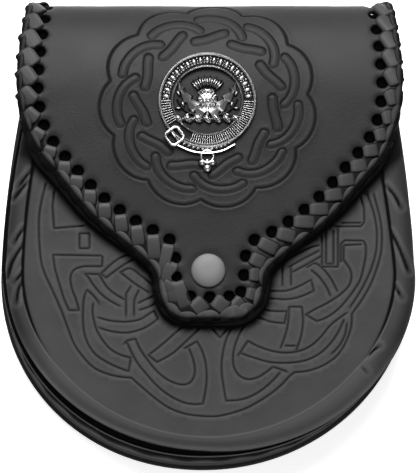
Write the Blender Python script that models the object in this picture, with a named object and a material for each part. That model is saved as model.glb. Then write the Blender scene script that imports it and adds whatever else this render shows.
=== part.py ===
"""Sporran pouch: a moulded leather pouch with a flap that folds over from the back.

The pouch lies on its back, front up: +X is its right, +Y its folded top edge, +Z its front.
Tables and driving sizes are in millimetres, and MM turns them into metres for the meshes.
The flap and the back are one piece of leather, drawn flat, punched, and then bent along a path.
"""

import math
from collections import namedtuple

import bmesh
import bpy
import numpy as np
from mathutils import Matrix, Vector

MM = 0.001

# --- Leather and clearances -------------------------------------------------------------------
GAP = 0.3
FLAP_LEATHER = 2.2
PANEL_LEATHER = 2.0
GUSSET_LEATHER = 1.6
KEEPER_LEATHER = 1.8

# --- Heights, from the back (z = 0) to the front ------------------------------------------------
FIELD_Z = 36.0
WIDEST_Z = 27.0
FLANGE_Z = 22.0
FLAP_TOP_Z = 40.4
FOLD_Z = 22.4
BACK_SLOPE = 0.048

# --- Lengths along the pouch ---------------------------------------------------------------------
BOTTOM_Y = -101.6
MOUTH_Y = 74.0
FOLD_REACH_Y = 102.7
FLAP_BEND_Y = 58.3
BACK_BEND_Y = 84.3

# --- Flap ------------------------------------------------------------------------------------------
FLAP_X = 1.3
HOLE_RADIUS = 2.6
HOLE_PITCH = 8.45
LEFT_CORNER_SLACK = 3.4
RIGHT_CORNER_SLACK = -2.5
HOLE_SIDES = 8
LACING_END_Y = 88.0
BEND_ROWS = 21

# Half the flap's width at each distance along the leather, from the tongue's tip to the fold.
FlapRow = namedtuple("FlapRow", "half_width along")
FLAP_OUTLINE = [
    FlapRow(0.0, -42.1),
    FlapRow(11.5, -41.0),
    FlapRow(17.8, -37.4),
    FlapRow(21.6, -32.0),
    FlapRow(23.2, -26.5),
    FlapRow(25.2, -19.0),
    FlapRow(34.8, -9.6),
    FlapRow(51.0, 4.1),
    FlapRow(66.5, 22.9),
    FlapRow(74.9, 33.5),
    FlapRow(80.8, 49.0),
    FlapRow(82.6, 64.1),
    FlapRow(81.4, 83.0),
    FlapRow(78.6, 105.0),
    FlapRow(78.4, 116.0),
    FlapRow(79.0, 127.0),
]

# The line of the lacing holes, in the same terms.
HOLE_LINE = [
    FlapRow(0.0, -30.8),
    FlapRow(8.0, -30.6),
    FlapRow(13.6, -27.6),
    FlapRow(14.8, -21.0),
    FlapRow(15.1, -13.9),
    FlapRow(17.6, -5.4),
    FlapRow(24.5, -1.5),
    FlapRow(32.2, 2.8),
    FlapRow(46.7, 13.4),
    FlapRow(58.3, 25.8),
    FlapRow(66.5, 35.4),
    FlapRow(71.8, 43.5),
    FlapRow(74.6, 54.0),
    FlapRow(75.4, 64.0),
    FlapRow(74.4, 80.0),
    FlapRow(72.6, 97.0),
    FlapRow(71.6, 112.0),
    FlapRow(71.6, 127.0),
]

# Outlines of the pouch body: a rounded lower part, and sides that draw in towards the mouth.
# The field's crease stays upright while the rest leans.
Outline = namedtuple("Outline", "half_width widest_y bottom_y roundness top_y top_half_width lean")
CREASE = Outline(80.9, -13.6, -91.8, 2.04, MOUTH_Y, 67.3, 0.0)
BULGE = Outline(90.2, -14.0, -98.3, 2.06, MOUTH_Y, 77.6, 1.0)
FLANGE = Outline(88.9, -14.0, -98.9, 2.06, MOUTH_Y, 77.0, 1.0)
BACK = Outline(89.0, -14.0, BOTTOM_Y, 2.06, BACK_BEND_Y, 79.0, 1.0)
BACK_TO_MOUTH = BACK._replace(top_y=MOUTH_Y, top_half_width=80.2)
SIDE_TAPER = 1.47
ROUND_SHARE = 0.62
LEAN = 0.0165
LEAN_CURVE = 0.00005
LEAN_Y = -15.0

# The moulded side wall: how far out it has come, and how high it still is, from crease to flange.
WallRow = namedtuple("WallRow", "out up")
WALL = [
    WallRow(0.20, 0.90),
    WallRow(0.48, 0.74),
    WallRow(0.76, 0.47),
    WallRow(0.95, 0.15),
]
FIELD_MARGIN = 5.0
FLANGE_WIDTH = 1.5
WALL_STATIONS = 70
GUSSET_STATIONS = 54

# Folds pressed into the side wall: height on the crease, slant to the flange, width and depth.
FoldRow = namedtuple("FoldRow", "side y slant width depth")
WALL_FOLDS = [
    FoldRow(-1, 29.0, 9.0, 5.0, 0.9),
    FoldRow(-1, 2.0, 12.0, 6.0, 1.0),
    FoldRow(-1, -18.0, 10.0, 6.0, 0.8),
    FoldRow(1, 22.0, 12.0, 6.0, 1.1),
    FoldRow(1, 1.0, 16.0, 6.0, 0.8),
    FoldRow(1, -55.0, 4.0, 6.0, 0.7),
]

# The gusset's outer face: distance in from the edges, and height between its two lips.
GussetRow = namedtuple("GussetRow", "inset up")
GUSSET = [
    GussetRow(0.4, 1.0),
    GussetRow(3.4, 1.0),
    GussetRow(2.0, 0.80),
    GussetRow(1.3, 0.50),
    GussetRow(2.0, 0.20),
    GussetRow(3.4, 0.0),
    GussetRow(0.4, 0.0),
]

# --- Metal ----------------------------------------------------------------------------------------
SNAP_X, SNAP_Y = 0.6, -19.2
SNAP_RADIUS = 7.4
SNAP_DOME = 2.1
SOCKET_RADIUS = 5.6
SOCKET_LIFT = 0.9
STUD_DISC = 1.4
STUD_RISE = 0.5
POST_RADIUS = 2.3
POST_CLEARANCE = 0.3
BADGE_X, BADGE_Y = 0.2, 54.6
BADGE_RADIUS = 21.5
BADGE_INNER_RADIUS = 14.7
BADGE_PIN_X = 17.6
BADGE_PIN_RADIUS = 0.9

# --- Belt keepers on the back ------------------------------------------------------------------------
KEEPER_X = 45.0
KEEPER_WIDTH = 20.0
KEEPER_Y = 53.0
KEEPER_FLAT = 22.0
KEEPER_RAMP = 5.0
KEEPER_TAB = 11.0
RIVET_RADIUS = 3.6
RIVET_POST_RADIUS = 1.5
RIVET_HEAD = 1.3
RIVET_SIDES = 12

# --- Colours: base colour, roughness, metallic ------------------------------------------------------
Finish = namedtuple("Finish", "colour roughness metallic")
BLACK_LEATHER = Finish((0.028, 0.028, 0.030), 0.48, 0.0)
BLACK_LACE = Finish((0.020, 0.020, 0.022), 0.40, 0.0)
ANTIQUE_SILVER = Finish((0.62, 0.62, 0.63), 0.30, 1.0)
SATIN_NICKEL = Finish((0.70, 0.70, 0.70), 0.36, 1.0)


# === Shared helpers ==================================================================================

def clear_scene():
    for old in list(bpy.data.objects):
        bpy.data.objects.remove(old, do_unlink=True)


def make_material(name, finish):
    material = bpy.data.materials.new(name)
    material.use_nodes = True
    shader = material.node_tree.nodes["Principled BSDF"]
    shader.inputs["Base Color"].default_value = (*finish.colour, 1.0)
    shader.inputs["Roughness"].default_value = finish.roughness
    shader.inputs["Metallic"].default_value = finish.metallic
    return material


def add_object(name, bm, finish, smooth_angle=35.0):
    """Turns a bmesh in millimetres into a closed, outward-facing object in metres."""
    bmesh.ops.recalc_face_normals(bm, faces=bm.faces)
    bmesh.ops.transform(bm, matrix=Matrix.Scale(MM, 4), verts=bm.verts)
    mesh = bpy.data.meshes.new(name)
    bm.to_mesh(mesh)
    bm.free()
    mesh.shade_smooth()
    mesh.set_sharp_from_angle(angle=math.radians(smooth_angle))
    item = bpy.data.objects.new(name, mesh)
    item.data.materials.append(make_material(name, finish))
    bpy.context.scene.collection.objects.link(item)
    return item


def mark_as_cutter(item):
    item.hide_render = True
    item.display_type = "WIRE"


def add_boolean(target, tool, operation):
    mark_as_cutter(tool)
    step = target.modifiers.new(operation.title(), "BOOLEAN")
    step.operation = operation
    step.object = tool
    step.solver = "EXACT"


def loft(bm, sections):
    """Joins rings of equal length with quads and closes both ends."""
    rings = [[bm.verts.new(point) for point in section] for section in sections]
    count = len(rings[0])
    for ring, following in zip(rings, rings[1:]):
        for i in range(count):
            j = (i + 1) % count
            bm.faces.new((ring[i], ring[j], following[j], following[i]))
    bm.faces.new(list(reversed(rings[0])))
    bm.faces.new(rings[-1])


def prism(bm, outline, low, high):
    """A straight-sided solid over a flat outline of (x, y) points."""
    loft(bm, [[(x, y, z) for x, y in outline] for z in (low, high)])


def lathe(bm, centre, profile, sides):
    """Turns (radius, height) rows about a vertical axis. The first and last rows are on the axis."""
    x, y, z = centre
    rings = []
    for radius, height in profile[1:-1]:
        angles = [2.0 * math.pi * i / sides for i in range(sides)]
        rings.append([bm.verts.new((x + radius * math.cos(a), y + radius * math.sin(a), z + height))
                      for a in angles])
    for ring, following in zip(rings, rings[1:]):
        for i in range(sides):
            j = (i + 1) % sides
            bm.faces.new((ring[i], ring[j], following[j], following[i]))
    for ring, height in ((rings[0], profile[0][1]), (rings[-1], profile[-1][1])):
        tip = bm.verts.new((x, y, z + height))
        for i in range(sides):
            bm.faces.new((ring[i], ring[(i + 1) % sides], tip))


def circle(x, y, radius, sides):
    return [(x + radius * math.cos(2.0 * math.pi * i / sides),
             y + radius * math.sin(2.0 * math.pi * i / sides)) for i in range(sides)]


def spline(points, steps):
    """A Catmull-Rom curve through the points, with the given number of steps to each span."""
    points = np.asarray(points, dtype=float)
    padded = np.vstack([2 * points[0] - points[1], points, 2 * points[-1] - points[-2]])
    curve = []
    for a, b, c, d in zip(padded, padded[1:], padded[2:], padded[3:]):
        for t in np.arange(steps) / steps:
            curve.append(0.5 * (2 * b + (c - a) * t + (2 * a - 5 * b + 4 * c - d) * t**2
                                + (3 * b - a - 3 * c + d) * t**3))
    curve.append(points[-1])
    return np.array(curve)


def edge_normals(points):
    """Unit normals of an open flat curve, to the right of its direction of travel."""
    along = np.gradient(points, axis=0)
    along /= np.linalg.norm(along, axis=1)[:, None]
    return np.column_stack([along[:, 1], -along[:, 0]])


def running_length(points):
    """Distance along an open curve at each of its points."""
    steps = np.linalg.norm(np.diff(points, axis=0), axis=1)
    return np.concatenate([[0.0], np.cumsum(steps)])


def resample(points, count):
    """Points at equal spacing along an open curve."""
    length = running_length(points)
    places = np.linspace(0.0, length[-1], count)
    return np.column_stack([np.interp(places, length, points[:, k]) for k in range(points.shape[1])])


# === Outlines of the body ============================================================================

def lean(y):
    """Sideways shift of the body, whose lower end leans a little to the left."""
    rise = y - LEAN_Y
    return LEAN * rise - LEAN_CURVE * rise * rise


def back_face_z(y):
    """Height of the back's outer face, which rises from the bottom rim towards the fold."""
    return BACK_SLOPE * (y - BOTTOM_Y)


def outline_point(outline, place):
    """A point on an outline: place runs from -1 at the mouth's left to 1 at its right."""
    side = math.copysign(1.0, place)
    share = abs(place)
    if share <= ROUND_SHARE:
        turn = 0.5 * math.pi * share / ROUND_SHARE
        power = 2.0 / outline.roundness
        x = outline.half_width * math.sin(turn) ** power
        y = outline.widest_y - (outline.widest_y - outline.bottom_y) * math.cos(turn) ** power
    else:
        climb = (share - ROUND_SHARE) / (1.0 - ROUND_SHARE)
        x = outline.half_width - (outline.half_width - outline.top_half_width) * climb**SIDE_TAPER
        y = outline.widest_y + (outline.top_y - outline.widest_y) * climb
    return np.array([side * x + outline.lean * lean(y), y])


def body_stations(count):
    """Places round the body, evenly spaced along the flange."""
    fine = np.linspace(-1.0, 1.0, 801)
    points = np.array([outline_point(FLANGE, place) for place in fine])
    length = running_length(points)
    return np.interp(np.linspace(0.0, length[-1], count), length, fine)


# === Front panel =======================================================================================

def fold_depth(side, y, out):
    """How far the side wall is pressed in at a place between crease (0) and flange (1)."""
    depth = 0.0
    for fold in WALL_FOLDS:
        if fold.side == side:
            distance = (y - fold.y + fold.slant * out) / fold.width
            depth += fold.depth * math.exp(-distance * distance)
    return depth * math.sin(math.pi * min(max(out, 0.0), 1.0))


def wall_section(place):
    """Outer line of the moulded panel at one station, as (distance out from the crease, height)."""
    crease = outline_point(CREASE, place)
    bulge = np.linalg.norm(outline_point(BULGE, place) - crease)
    reach = np.linalg.norm(outline_point(FLANGE, place) - crease)
    side = math.copysign(1.0, place)
    rows = [(-FIELD_MARGIN, FIELD_Z), (0.0, FIELD_Z)]
    for row in WALL:
        pressed = fold_depth(side, crease[1], row.out)
        rows.append((row.out * bulge - pressed, WIDEST_Z + row.up * (FIELD_Z - WIDEST_Z)))
    rows.append((min(bulge, reach) - FLANGE_WIDTH * 0.4, 0.4 * WIDEST_Z + 0.6 * FLANGE_Z))
    rows.append((reach - FLANGE_WIDTH, FLANGE_Z + 0.2))
    rows.append((reach, FLANGE_Z))
    return np.array(rows)


def inner_line(outer, thickness):
    """The other face of a leather section: each point moved in along the section's normal."""
    return outer + thickness * edge_normals(outer)


def place_section(place, section):
    """Puts (out, height) points of one station in space, on the line from crease to flange."""
    crease = outline_point(CREASE, place)
    away = outline_point(FLANGE, place) - crease
    away /= np.linalg.norm(away)
    return [(*(crease + away * out), height) for out, height in section]


def build_front_panel():
    """Flat field, rounded side wall and turned-out flange, open at the back and at the mouth."""
    outer_rings = []
    inner_rings = []
    for place in body_stations(WALL_STATIONS):
        outer = wall_section(place)
        inner = inner_line(outer, PANEL_LEATHER)
        inner[0] = (-FIELD_MARGIN, FIELD_Z - PANEL_LEATHER)
        inner[-1] = (outer[-1][0], FLANGE_Z - PANEL_LEATHER)
        outer_rings.append(place_section(place, outer))
        inner_rings.append(place_section(place, inner))
    bm = bmesh.new()
    outers = [[bm.verts.new(point) for point in ring] for ring in outer_rings]
    inners = [[bm.verts.new(point) for point in ring] for ring in inner_rings]
    for rings in (outers, inners):
        for ring, following in zip(rings, rings[1:]):
            for i in range(len(ring) - 1):
                bm.faces.new((ring[i], ring[i + 1], following[i + 1], following[i]))
        bm.faces.new([ring[0] for ring in rings])
    for i in range(len(outers) - 1):
        bm.faces.new((outers[i][-1], outers[i + 1][-1], inners[i + 1][-1], inners[i][-1]))
    for end in (0, -1):
        bm.faces.new(outers[end] + list(reversed(inners[end])))
    bm.faces.new((outers[0][0], outers[-1][0], inners[-1][0], inners[0][0]))
    panel = add_object("front_panel", bm, BLACK_LEATHER, smooth_angle=22.0)
    hole = bmesh.new()
    prism(hole, circle(SNAP_X, SNAP_Y, POST_RADIUS + POST_CLEARANCE, 16), FIELD_Z - 6.0, FIELD_Z + 6.0)
    add_boolean(panel, add_object("stud_punch", hole, BLACK_LEATHER), "DIFFERENCE")


# === Gusset ============================================================================================

def gusset_section(place):
    """Closed section of the gusset: a bulging strip with a lip under each flange."""
    front_edge = outline_point(FLANGE, place)
    back_edge = outline_point(BACK_TO_MOUTH, place)
    crease = outline_point(CREASE, place)
    inward = crease - front_edge
    inward /= np.linalg.norm(inward)
    top = FLANGE_Z - PANEL_LEATHER - GAP - GUSSET_LEATHER
    low = back_face_z(back_edge[1]) + FLAP_LEATHER + GAP + GUSSET_LEATHER
    outer = np.array([(row.inset, low + row.up * (top - low)) for row in GUSSET])
    inner = outer.copy()
    inner[:, 0] += GUSSET_LEATHER
    inner[0] = (outer[0][0], top + GUSSET_LEATHER)
    inner[1] = (outer[1][0] + GUSSET_LEATHER, top + GUSSET_LEATHER)
    inner[-2] = (outer[-2][0] + GUSSET_LEATHER, low - GUSSET_LEATHER)
    inner[-1] = (outer[-1][0], low - GUSSET_LEATHER)
    points = []
    for inset, height in list(outer) + list(reversed(inner)):
        share = min(max((height - low) / (top - low), 0.0), 1.0)
        edge = back_edge + share * (front_edge - back_edge)
        points.append((*(edge + inward * inset), height))
    return points


def build_gusset():
    bm = bmesh.new()
    loft(bm, [gusset_section(place) for place in body_stations(GUSSET_STATIONS)])
    add_object("gusset", bm, BLACK_LEATHER)


# === Flap and back, one piece of leather ==============================================================

def leather_path():
    """The bent leather's middle line: distance along it, y, z, and the outward normal's y and z.

    The distance equals y on the flap's flat part, and grows over the fold and down the back.
    """
    half = FLAP_LEATHER / 2
    upper = (FOLD_REACH_Y - FLAP_BEND_Y - half, FLAP_TOP_Z - FOLD_Z - half)
    lower = (FOLD_REACH_Y - BACK_BEND_Y - half, FOLD_Z - back_face_z(BACK_BEND_Y) - half)
    rows = [(FLAP_OUTLINE[0].along - 10.0, FLAP_TOP_Z - half, 0.0, 1.0)]
    for turn in np.radians(np.linspace(90.0, 0.0, 31)):
        normal = np.array([math.cos(turn) / upper[0], math.sin(turn) / upper[1]])
        rows.append((FLAP_BEND_Y + upper[0] * math.cos(turn), FOLD_Z + upper[1] * math.sin(turn),
                     *(normal / np.linalg.norm(normal))))
    for turn in np.radians(np.linspace(0.0, -90.0, 25)[1:]):
        normal = np.array([math.cos(turn) / lower[0], math.sin(turn) / lower[1]])
        rows.append((BACK_BEND_Y + lower[0] * math.cos(turn), FOLD_Z + lower[1] * math.sin(turn),
                     *(normal / np.linalg.norm(normal))))
    rows.append((BOTTOM_Y - 1.0, back_face_z(BOTTOM_Y - 1.0) + half, 0.0, -1.0))
    rows = np.array(rows)
    return np.column_stack([rows[0][0] + running_length(rows[:, :2]), rows])


PATH = leather_path()


def bend(x, along, away):
    """Carries a point of the flat leather to its place: away is its height over the middle line."""
    y, z, normal_y, normal_z = (np.interp(along, PATH[:, 0], PATH[:, k]) for k in (1, 2, 3, 4))
    return (x, y + away * normal_y, z + away * normal_z)


def along_of_back(y):
    """Distance along the leather of a place on the back."""
    back = PATH[-2:]
    return float(np.interp(-y, -back[:, 1], back[:, 0]))


def flap_edge(side):
    """One side of the flap's flat outline, from the tongue's tip to the start of the back."""
    rows = spline([(row.half_width, row.along) for row in FLAP_OUTLINE], 4)
    return np.column_stack([FLAP_X + side * rows[:, 0], rows[:, 1]])


def whole_flap_edge():
    """The laced edge in one run: down the right side, round the tongue and up the left."""
    right = flap_edge(1)[::-1]
    left = flap_edge(-1)[1:]
    edge = np.vstack([right, left])
    return edge[edge[:, 1] <= along_of_lacing_end()]


def along_of_lacing_end():
    """Distance along the leather at which the lacing stops, behind the fold."""
    behind = PATH[PATH[:, 0] > PATH[0, 0] + FOLD_REACH_Y - FLAP_OUTLINE[0].along + 10.0]
    return float(np.interp(-LACING_END_Y, -behind[:, 1], behind[:, 0]))


def lacing_holes():
    """Centres of the lacing holes on the flat leather, in one run from the right to the left.

    They are a pitch apart on each side of the tongue's middle hole. The step round the tongue's
    left corner is longer, and the one round its right corner shorter.
    """
    line = spline([(row.half_width, row.along) for row in HOLE_LINE], 8)
    line = line[line[:, 1] <= along_of_lacing_end()]
    length = running_length(line)
    count = int((length[-1] - LEFT_CORNER_SLACK) / HOLE_PITCH)
    holes = []
    for k in range(-count, count + 1):
        slack = LEFT_CORNER_SLACK if k < 0 else RIGHT_CORNER_SLACK
        place = abs(k) * HOLE_PITCH + (slack if abs(k) > 1 else 0.0)
        half_width, along = (np.interp(place, length, line[:, i]) for i in (0, 1))
        holes.append((FLAP_X + math.copysign(half_width, k), along))
    return np.array(holes[::-1])


def flat_outline():
    """The whole piece of leather before it is bent: flap, fold and back."""
    places = np.linspace(0.985, 0.0, 34)
    right = flap_edge(1)
    back_right = [outline_point(BACK, place) for place in places]
    back_left = [outline_point(BACK, -place) for place in places[-2::-1]]
    down = [(x, along_of_back(y)) for x, y in back_right + back_left]
    left = flap_edge(-1)[::-1][:-1]
    return [tuple(point) for point in np.vstack([right, down, left])]


def rivet_places():
    """Centres of the keeper rivets as (x, y)."""
    offset = KEEPER_FLAT / 2 + KEEPER_RAMP + KEEPER_TAB / 2
    return [(side * KEEPER_X, KEEPER_Y + end * offset) for side in (-1, 1) for end in (-1, 1)]


def add_punches(bm):
    """All the holes of the flat leather: lacing, stud, badge pins and keeper rivets."""
    half = 2.0 * FLAP_LEATHER
    for x, along in lacing_holes():
        prism(bm, circle(x, along, HOLE_RADIUS, HOLE_SIDES), -half, half)
    prism(bm, circle(SNAP_X, SNAP_Y, POST_RADIUS + POST_CLEARANCE, 16), -half, half)
    for side in (-1, 1):
        pin = circle(BADGE_X + side * BADGE_PIN_X, BADGE_Y, BADGE_PIN_RADIUS + POST_CLEARANCE, 8)
        prism(bm, pin, -half, half)
    for x, y in rivet_places():
        prism(bm, circle(x, along_of_back(y), RIVET_POST_RADIUS + POST_CLEARANCE, 10), -half, half)


def bend_rows():
    """Distances along the leather where it needs a row of edges, one for each step it turns."""
    turned = np.unwrap(np.arctan2(PATH[:, 4], PATH[:, 3]))
    steps = np.linspace(turned[0], turned[-2], BEND_ROWS)
    return np.interp(-steps, -turned[:-1], PATH[:-1, 0])


def build_back_and_flap():
    """Draws the leather flat, punches it, adds rows of edges where it bends, and bends it."""
    half = FLAP_LEATHER / 2
    flat = bmesh.new()
    prism(flat, flat_outline(), -half, half)
    sheet = add_object("flat_leather", flat, BLACK_LEATHER)
    punches = bmesh.new()
    add_punches(punches)
    add_boolean(sheet, add_object("leather_punches", punches, BLACK_LEATHER), "DIFFERENCE")
    mark_as_cutter(sheet)
    evaluated = sheet.evaluated_get(bpy.context.evaluated_depsgraph_get())
    bm = bmesh.new()
    bm.from_mesh(evaluated.to_mesh())
    evaluated.to_mesh_clear()
    bmesh.ops.transform(bm, matrix=Matrix.Scale(1.0 / MM, 4), verts=bm.verts)
    for row in bend_rows():
        bmesh.ops.bisect_plane(bm, geom=bm.verts[:] + bm.edges[:] + bm.faces[:], dist=1e-4,
                               plane_co=(0.0, row, 0.0), plane_no=(0.0, 1.0, 0.0))
    bmesh.ops.triangulate(bm, faces=bm.faces)
    for vertex in bm.verts:
        vertex.co = bend(*vertex.co)
    add_object("back_and_flap", bm, BLACK_LEATHER)


# === Lacing ============================================================================================

LACE_ARM = 4.4
LACE_TOP = 1.4
LACE_UNDER = 1.2
LACE_SWELL = 0.42
LACE_EDGE = 1.8
LACE_GAP = 0.5


def lacing_section(swell):
    """The lacing's section round the leather's edge, as (distance out, height over the middle)."""
    inside = FLAP_LEATHER / 2 + LACE_GAP
    top = inside + LACE_TOP * (1.0 - LACE_SWELL + swell * LACE_SWELL)
    under = -inside - LACE_UNDER
    return [(-LACE_ARM, inside), (-LACE_ARM, inside + 0.6 * (top - inside)), (-1.2, top),
            (1.0, 0.72 * top), (LACE_EDGE, 0.0), (1.0, 0.72 * under), (-1.2, under),
            (-LACE_ARM, 0.8 * under), (-LACE_ARM, -inside), (LACE_GAP, -inside),
            (LACE_GAP, inside)]


def build_edge_lacing():
    """The overhand lacing as one ribbed roll that clasps the flap's edge, a rib for each hole."""
    count = 2 * len(lacing_holes()) + 1
    edge = resample(resample(whole_flap_edge(), 1200), count)
    normals = -edge_normals(edge)
    sections = []
    for i, (point, outward) in enumerate(zip(edge, normals)):
        section = lacing_section(i % 2)
        places = [(point + outward * out, away) for out, away in section]
        sections.append([bend(place[0], place[1], away) for place, away in places])
    bm = bmesh.new()
    loft(bm, sections)
    add_object("edge_lacing", bm, BLACK_LACE)


# === Press stud ========================================================================================

def build_snap():
    """The cap with its post and socket in the flap, and the stud that it closes on."""
    flap_low = FLAP_TOP_Z - FLAP_LEATHER
    socket_low = FIELD_Z + SOCKET_LIFT
    cap = bmesh.new()
    lathe(cap, (SNAP_X, SNAP_Y, 0.0), [
        (0.0, socket_low), (SOCKET_RADIUS - 0.2, socket_low), (SOCKET_RADIUS, flap_low - GAP),
        (POST_RADIUS, flap_low - GAP),
        (POST_RADIUS, FLAP_TOP_Z + GAP), (SNAP_RADIUS - 0.2, FLAP_TOP_Z + GAP),
        (SNAP_RADIUS, FLAP_TOP_Z + GAP + 0.5), (SNAP_RADIUS * 0.86, FLAP_TOP_Z + GAP + 0.66 * SNAP_DOME),
        (SNAP_RADIUS * 0.5, FLAP_TOP_Z + GAP + 0.94 * SNAP_DOME), (0.0, FLAP_TOP_Z + GAP + SNAP_DOME),
    ], 24)
    add_object("snap_cap", cap, SATIN_NICKEL)
    panel_low = FIELD_Z - PANEL_LEATHER
    stud = bmesh.new()
    lathe(stud, (SNAP_X, SNAP_Y, 0.0), [
        (0.0, panel_low - GAP - STUD_DISC), (SOCKET_RADIUS, panel_low - GAP - STUD_DISC),
        (SOCKET_RADIUS + 0.2, panel_low - GAP), (POST_RADIUS, panel_low - GAP),
        (POST_RADIUS, FIELD_Z + STUD_RISE), (0.0, FIELD_Z + STUD_RISE + 0.1),
    ], 20)
    add_object("snap_stud", stud, SATIN_NICKEL)


# === Badge =============================================================================================

BADGE_BASE = 1.5
BADGE_RIM = 2.3

# Solid ovals of the motif: centre, half sizes, height over the flap and turn in degrees.
OvalRow = namedtuple("OvalRow", "x y half_x half_y height turn")
THISTLE = [
    OvalRow(0.0, 0.2, 5.0, 4.4, 3.4, 0),
    OvalRow(0.0, 5.6, 4.6, 2.8, 2.8, 0),
    OvalRow(-3.4, 8.6, 1.1, 3.6, 2.5, 24),
    OvalRow(0.0, 9.4, 1.1, 3.8, 2.6, 0),
    OvalRow(3.4, 8.6, 1.1, 3.6, 2.5, -24),
    OvalRow(0.0, -4.4, 1.3, 3.4, 2.4, 0),
    OvalRow(-8.8, 0.9, 7.4, 2.3, 2.3, -34),
    OvalRow(8.8, 0.9, 7.4, 2.3, 2.3, 34),
]
WREATH_Y = -7.2
WREATH_TWISTS = 6
TREFOIL_Y = -28.2


def oval(x, y, half_x, half_y, turn, sides):
    angle = math.radians(turn)
    points = []
    for px, py in circle(0.0, 0.0, 1.0, sides):
        ox, oy = px * half_x, py * half_y
        points.append((BADGE_X + x + ox * math.cos(angle) - oy * math.sin(angle),
                       BADGE_Y + y + ox * math.sin(angle) + oy * math.cos(angle)))
    return points


def domed(bm, outline, low, height):
    """A flat-bottomed solid that draws in towards its top, like a pressed dome."""
    middle = np.mean(outline, axis=0)
    rings = []
    for scale, share in ((1.0, 0.0), (1.0, 0.45), (0.62, 1.0)):
        rings.append([(*(middle + scale * (np.array(point) - middle)), low + share * height)
                      for point in outline])
    loft(bm, rings)


def badge_ring(low):
    """The strap ring: a flat band between two raised rims."""
    rings = []
    inner, outer = BADGE_INNER_RADIUS, BADGE_RADIUS
    for radius, height in ((inner, 0.0), (outer, 0.0), (outer, BADGE_RIM * 0.7), (outer - 0.7, BADGE_RIM),
                           (outer - 1.5, BADGE_BASE), (inner + 1.3, BADGE_BASE),
                           (inner + 0.6, BADGE_RIM), (inner, BADGE_RIM * 0.7)):
        rings.append([(x, y, low + height) for x, y in oval(0.0, 0.0, radius, radius, 0, 32)])
    bm = bmesh.new()
    verts = [[bm.verts.new(point) for point in ring] for ring in rings]
    for ring, following in zip(verts, verts[1:] + verts[:1]):
        for i in range(len(ring)):
            j = (i + 1) % len(ring)
            bm.faces.new((ring[i], ring[j], following[j], following[i]))
    return bm


def badge_pieces(low):
    """The pieces soldered to the ring, each as a bmesh of its own."""
    for row in THISTLE:
        bm = bmesh.new()
        domed(bm, oval(row.x, row.y, row.half_x, row.half_y, row.turn, 10), low + 0.1, row.height)
        yield bm
    for i in range(WREATH_TWISTS):
        x = (i - (WREATH_TWISTS - 1) / 2) * 4.4
        bm = bmesh.new()
        domed(bm, oval(x, WREATH_Y, 2.9, 1.9, 32, 8), low + 0.05, 2.9)
        yield bm
    bm = bmesh.new()
    prism(bm, oval(0.0, WREATH_Y, 14.9, 1.0, 0, 16), low, low + 1.6)
    yield bm
    for x, y in ((0.0, TREFOIL_Y), (-2.7, TREFOIL_Y + 2.6), (2.7, TREFOIL_Y + 2.6)):
        bm = bmesh.new()
        domed(bm, oval(x, y, 2.3, 2.3, 0, 8), low + 0.05, 1.8)
        yield bm
    bm = bmesh.new()
    prism(bm, oval(0.0, TREFOIL_Y + 5.0, 1.7, 4.6, 0, 10), low, low + 1.3)
    yield bm
    bm = bmesh.new()
    prism(bm, oval(-14.2, -16.4, 5.4, 3.6, -42, 4), low, low + 2.6)
    yield bm
    bm = bmesh.new()
    prism(bm, oval(-4.0, -20.2, 9.0, 2.0, -10, 12), low, low + 1.7)
    yield bm
    for side in (-1, 1):
        bm = bmesh.new()
        prism(bm, oval(side * BADGE_PIN_X, 0.0, BADGE_PIN_RADIUS, BADGE_PIN_RADIUS, 0, 8),
              FLAP_TOP_Z - FLAP_LEATHER - 0.6, low + 0.6)
        yield bm


def build_badge():
    """One silver casting: strap ring with a buckle, a thistle on a twisted bar, and a trefoil tip."""
    low = FLAP_TOP_Z + GAP
    badge = add_object("crest_badge", badge_ring(low), ANTIQUE_SILVER)
    for i, bm in enumerate(badge_pieces(low)):
        piece = add_object(f"badge_piece_{i}", bm, ANTIQUE_SILVER)
        add_boolean(badge, piece, "UNION")


# === Belt keepers ======================================================================================

def keeper_line():
    """The keeper's outer face in side view, as (y, z): flat tab, ramp, flat, ramp, flat tab."""
    flat = KEEPER_FLAT / 2
    ramp = flat + KEEPER_RAMP
    tab = ramp + KEEPER_TAB
    drop = KEEPER_LEATHER + GAP
    rows = [(-tab, None), (-ramp, None), (-flat, 0.0), (flat, 0.0), (ramp, None), (tab, None)]
    line = []
    for offset, z in rows:
        y = KEEPER_Y + offset
        line.append((y, back_face_z(y) - drop if z is None else z))
    return line


def build_keeper(name, centre_x):
    """A riveted leather loop that a strap passes through, bent from one strip."""
    outer = np.array(keeper_line())
    inner = outer + np.array([0.0, KEEPER_LEATHER])
    section = [tuple(point) for point in outer] + [tuple(point) for point in inner[::-1]]
    half = KEEPER_WIDTH / 2
    bm = bmesh.new()
    loft(bm, [[(centre_x + offset, y, z) for y, z in section] for offset in (-half, half)])
    keeper = add_object(name, bm, BLACK_LEATHER)
    punch = bmesh.new()
    for x, y in rivet_places():
        if x * centre_x > 0:
            prism(punch, circle(x, y, RIVET_POST_RADIUS + POST_CLEARANCE, 10), -5.0, 20.0)
    add_boolean(keeper, add_object(name + "_punch", punch, BLACK_LEATHER), "DIFFERENCE")


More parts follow.
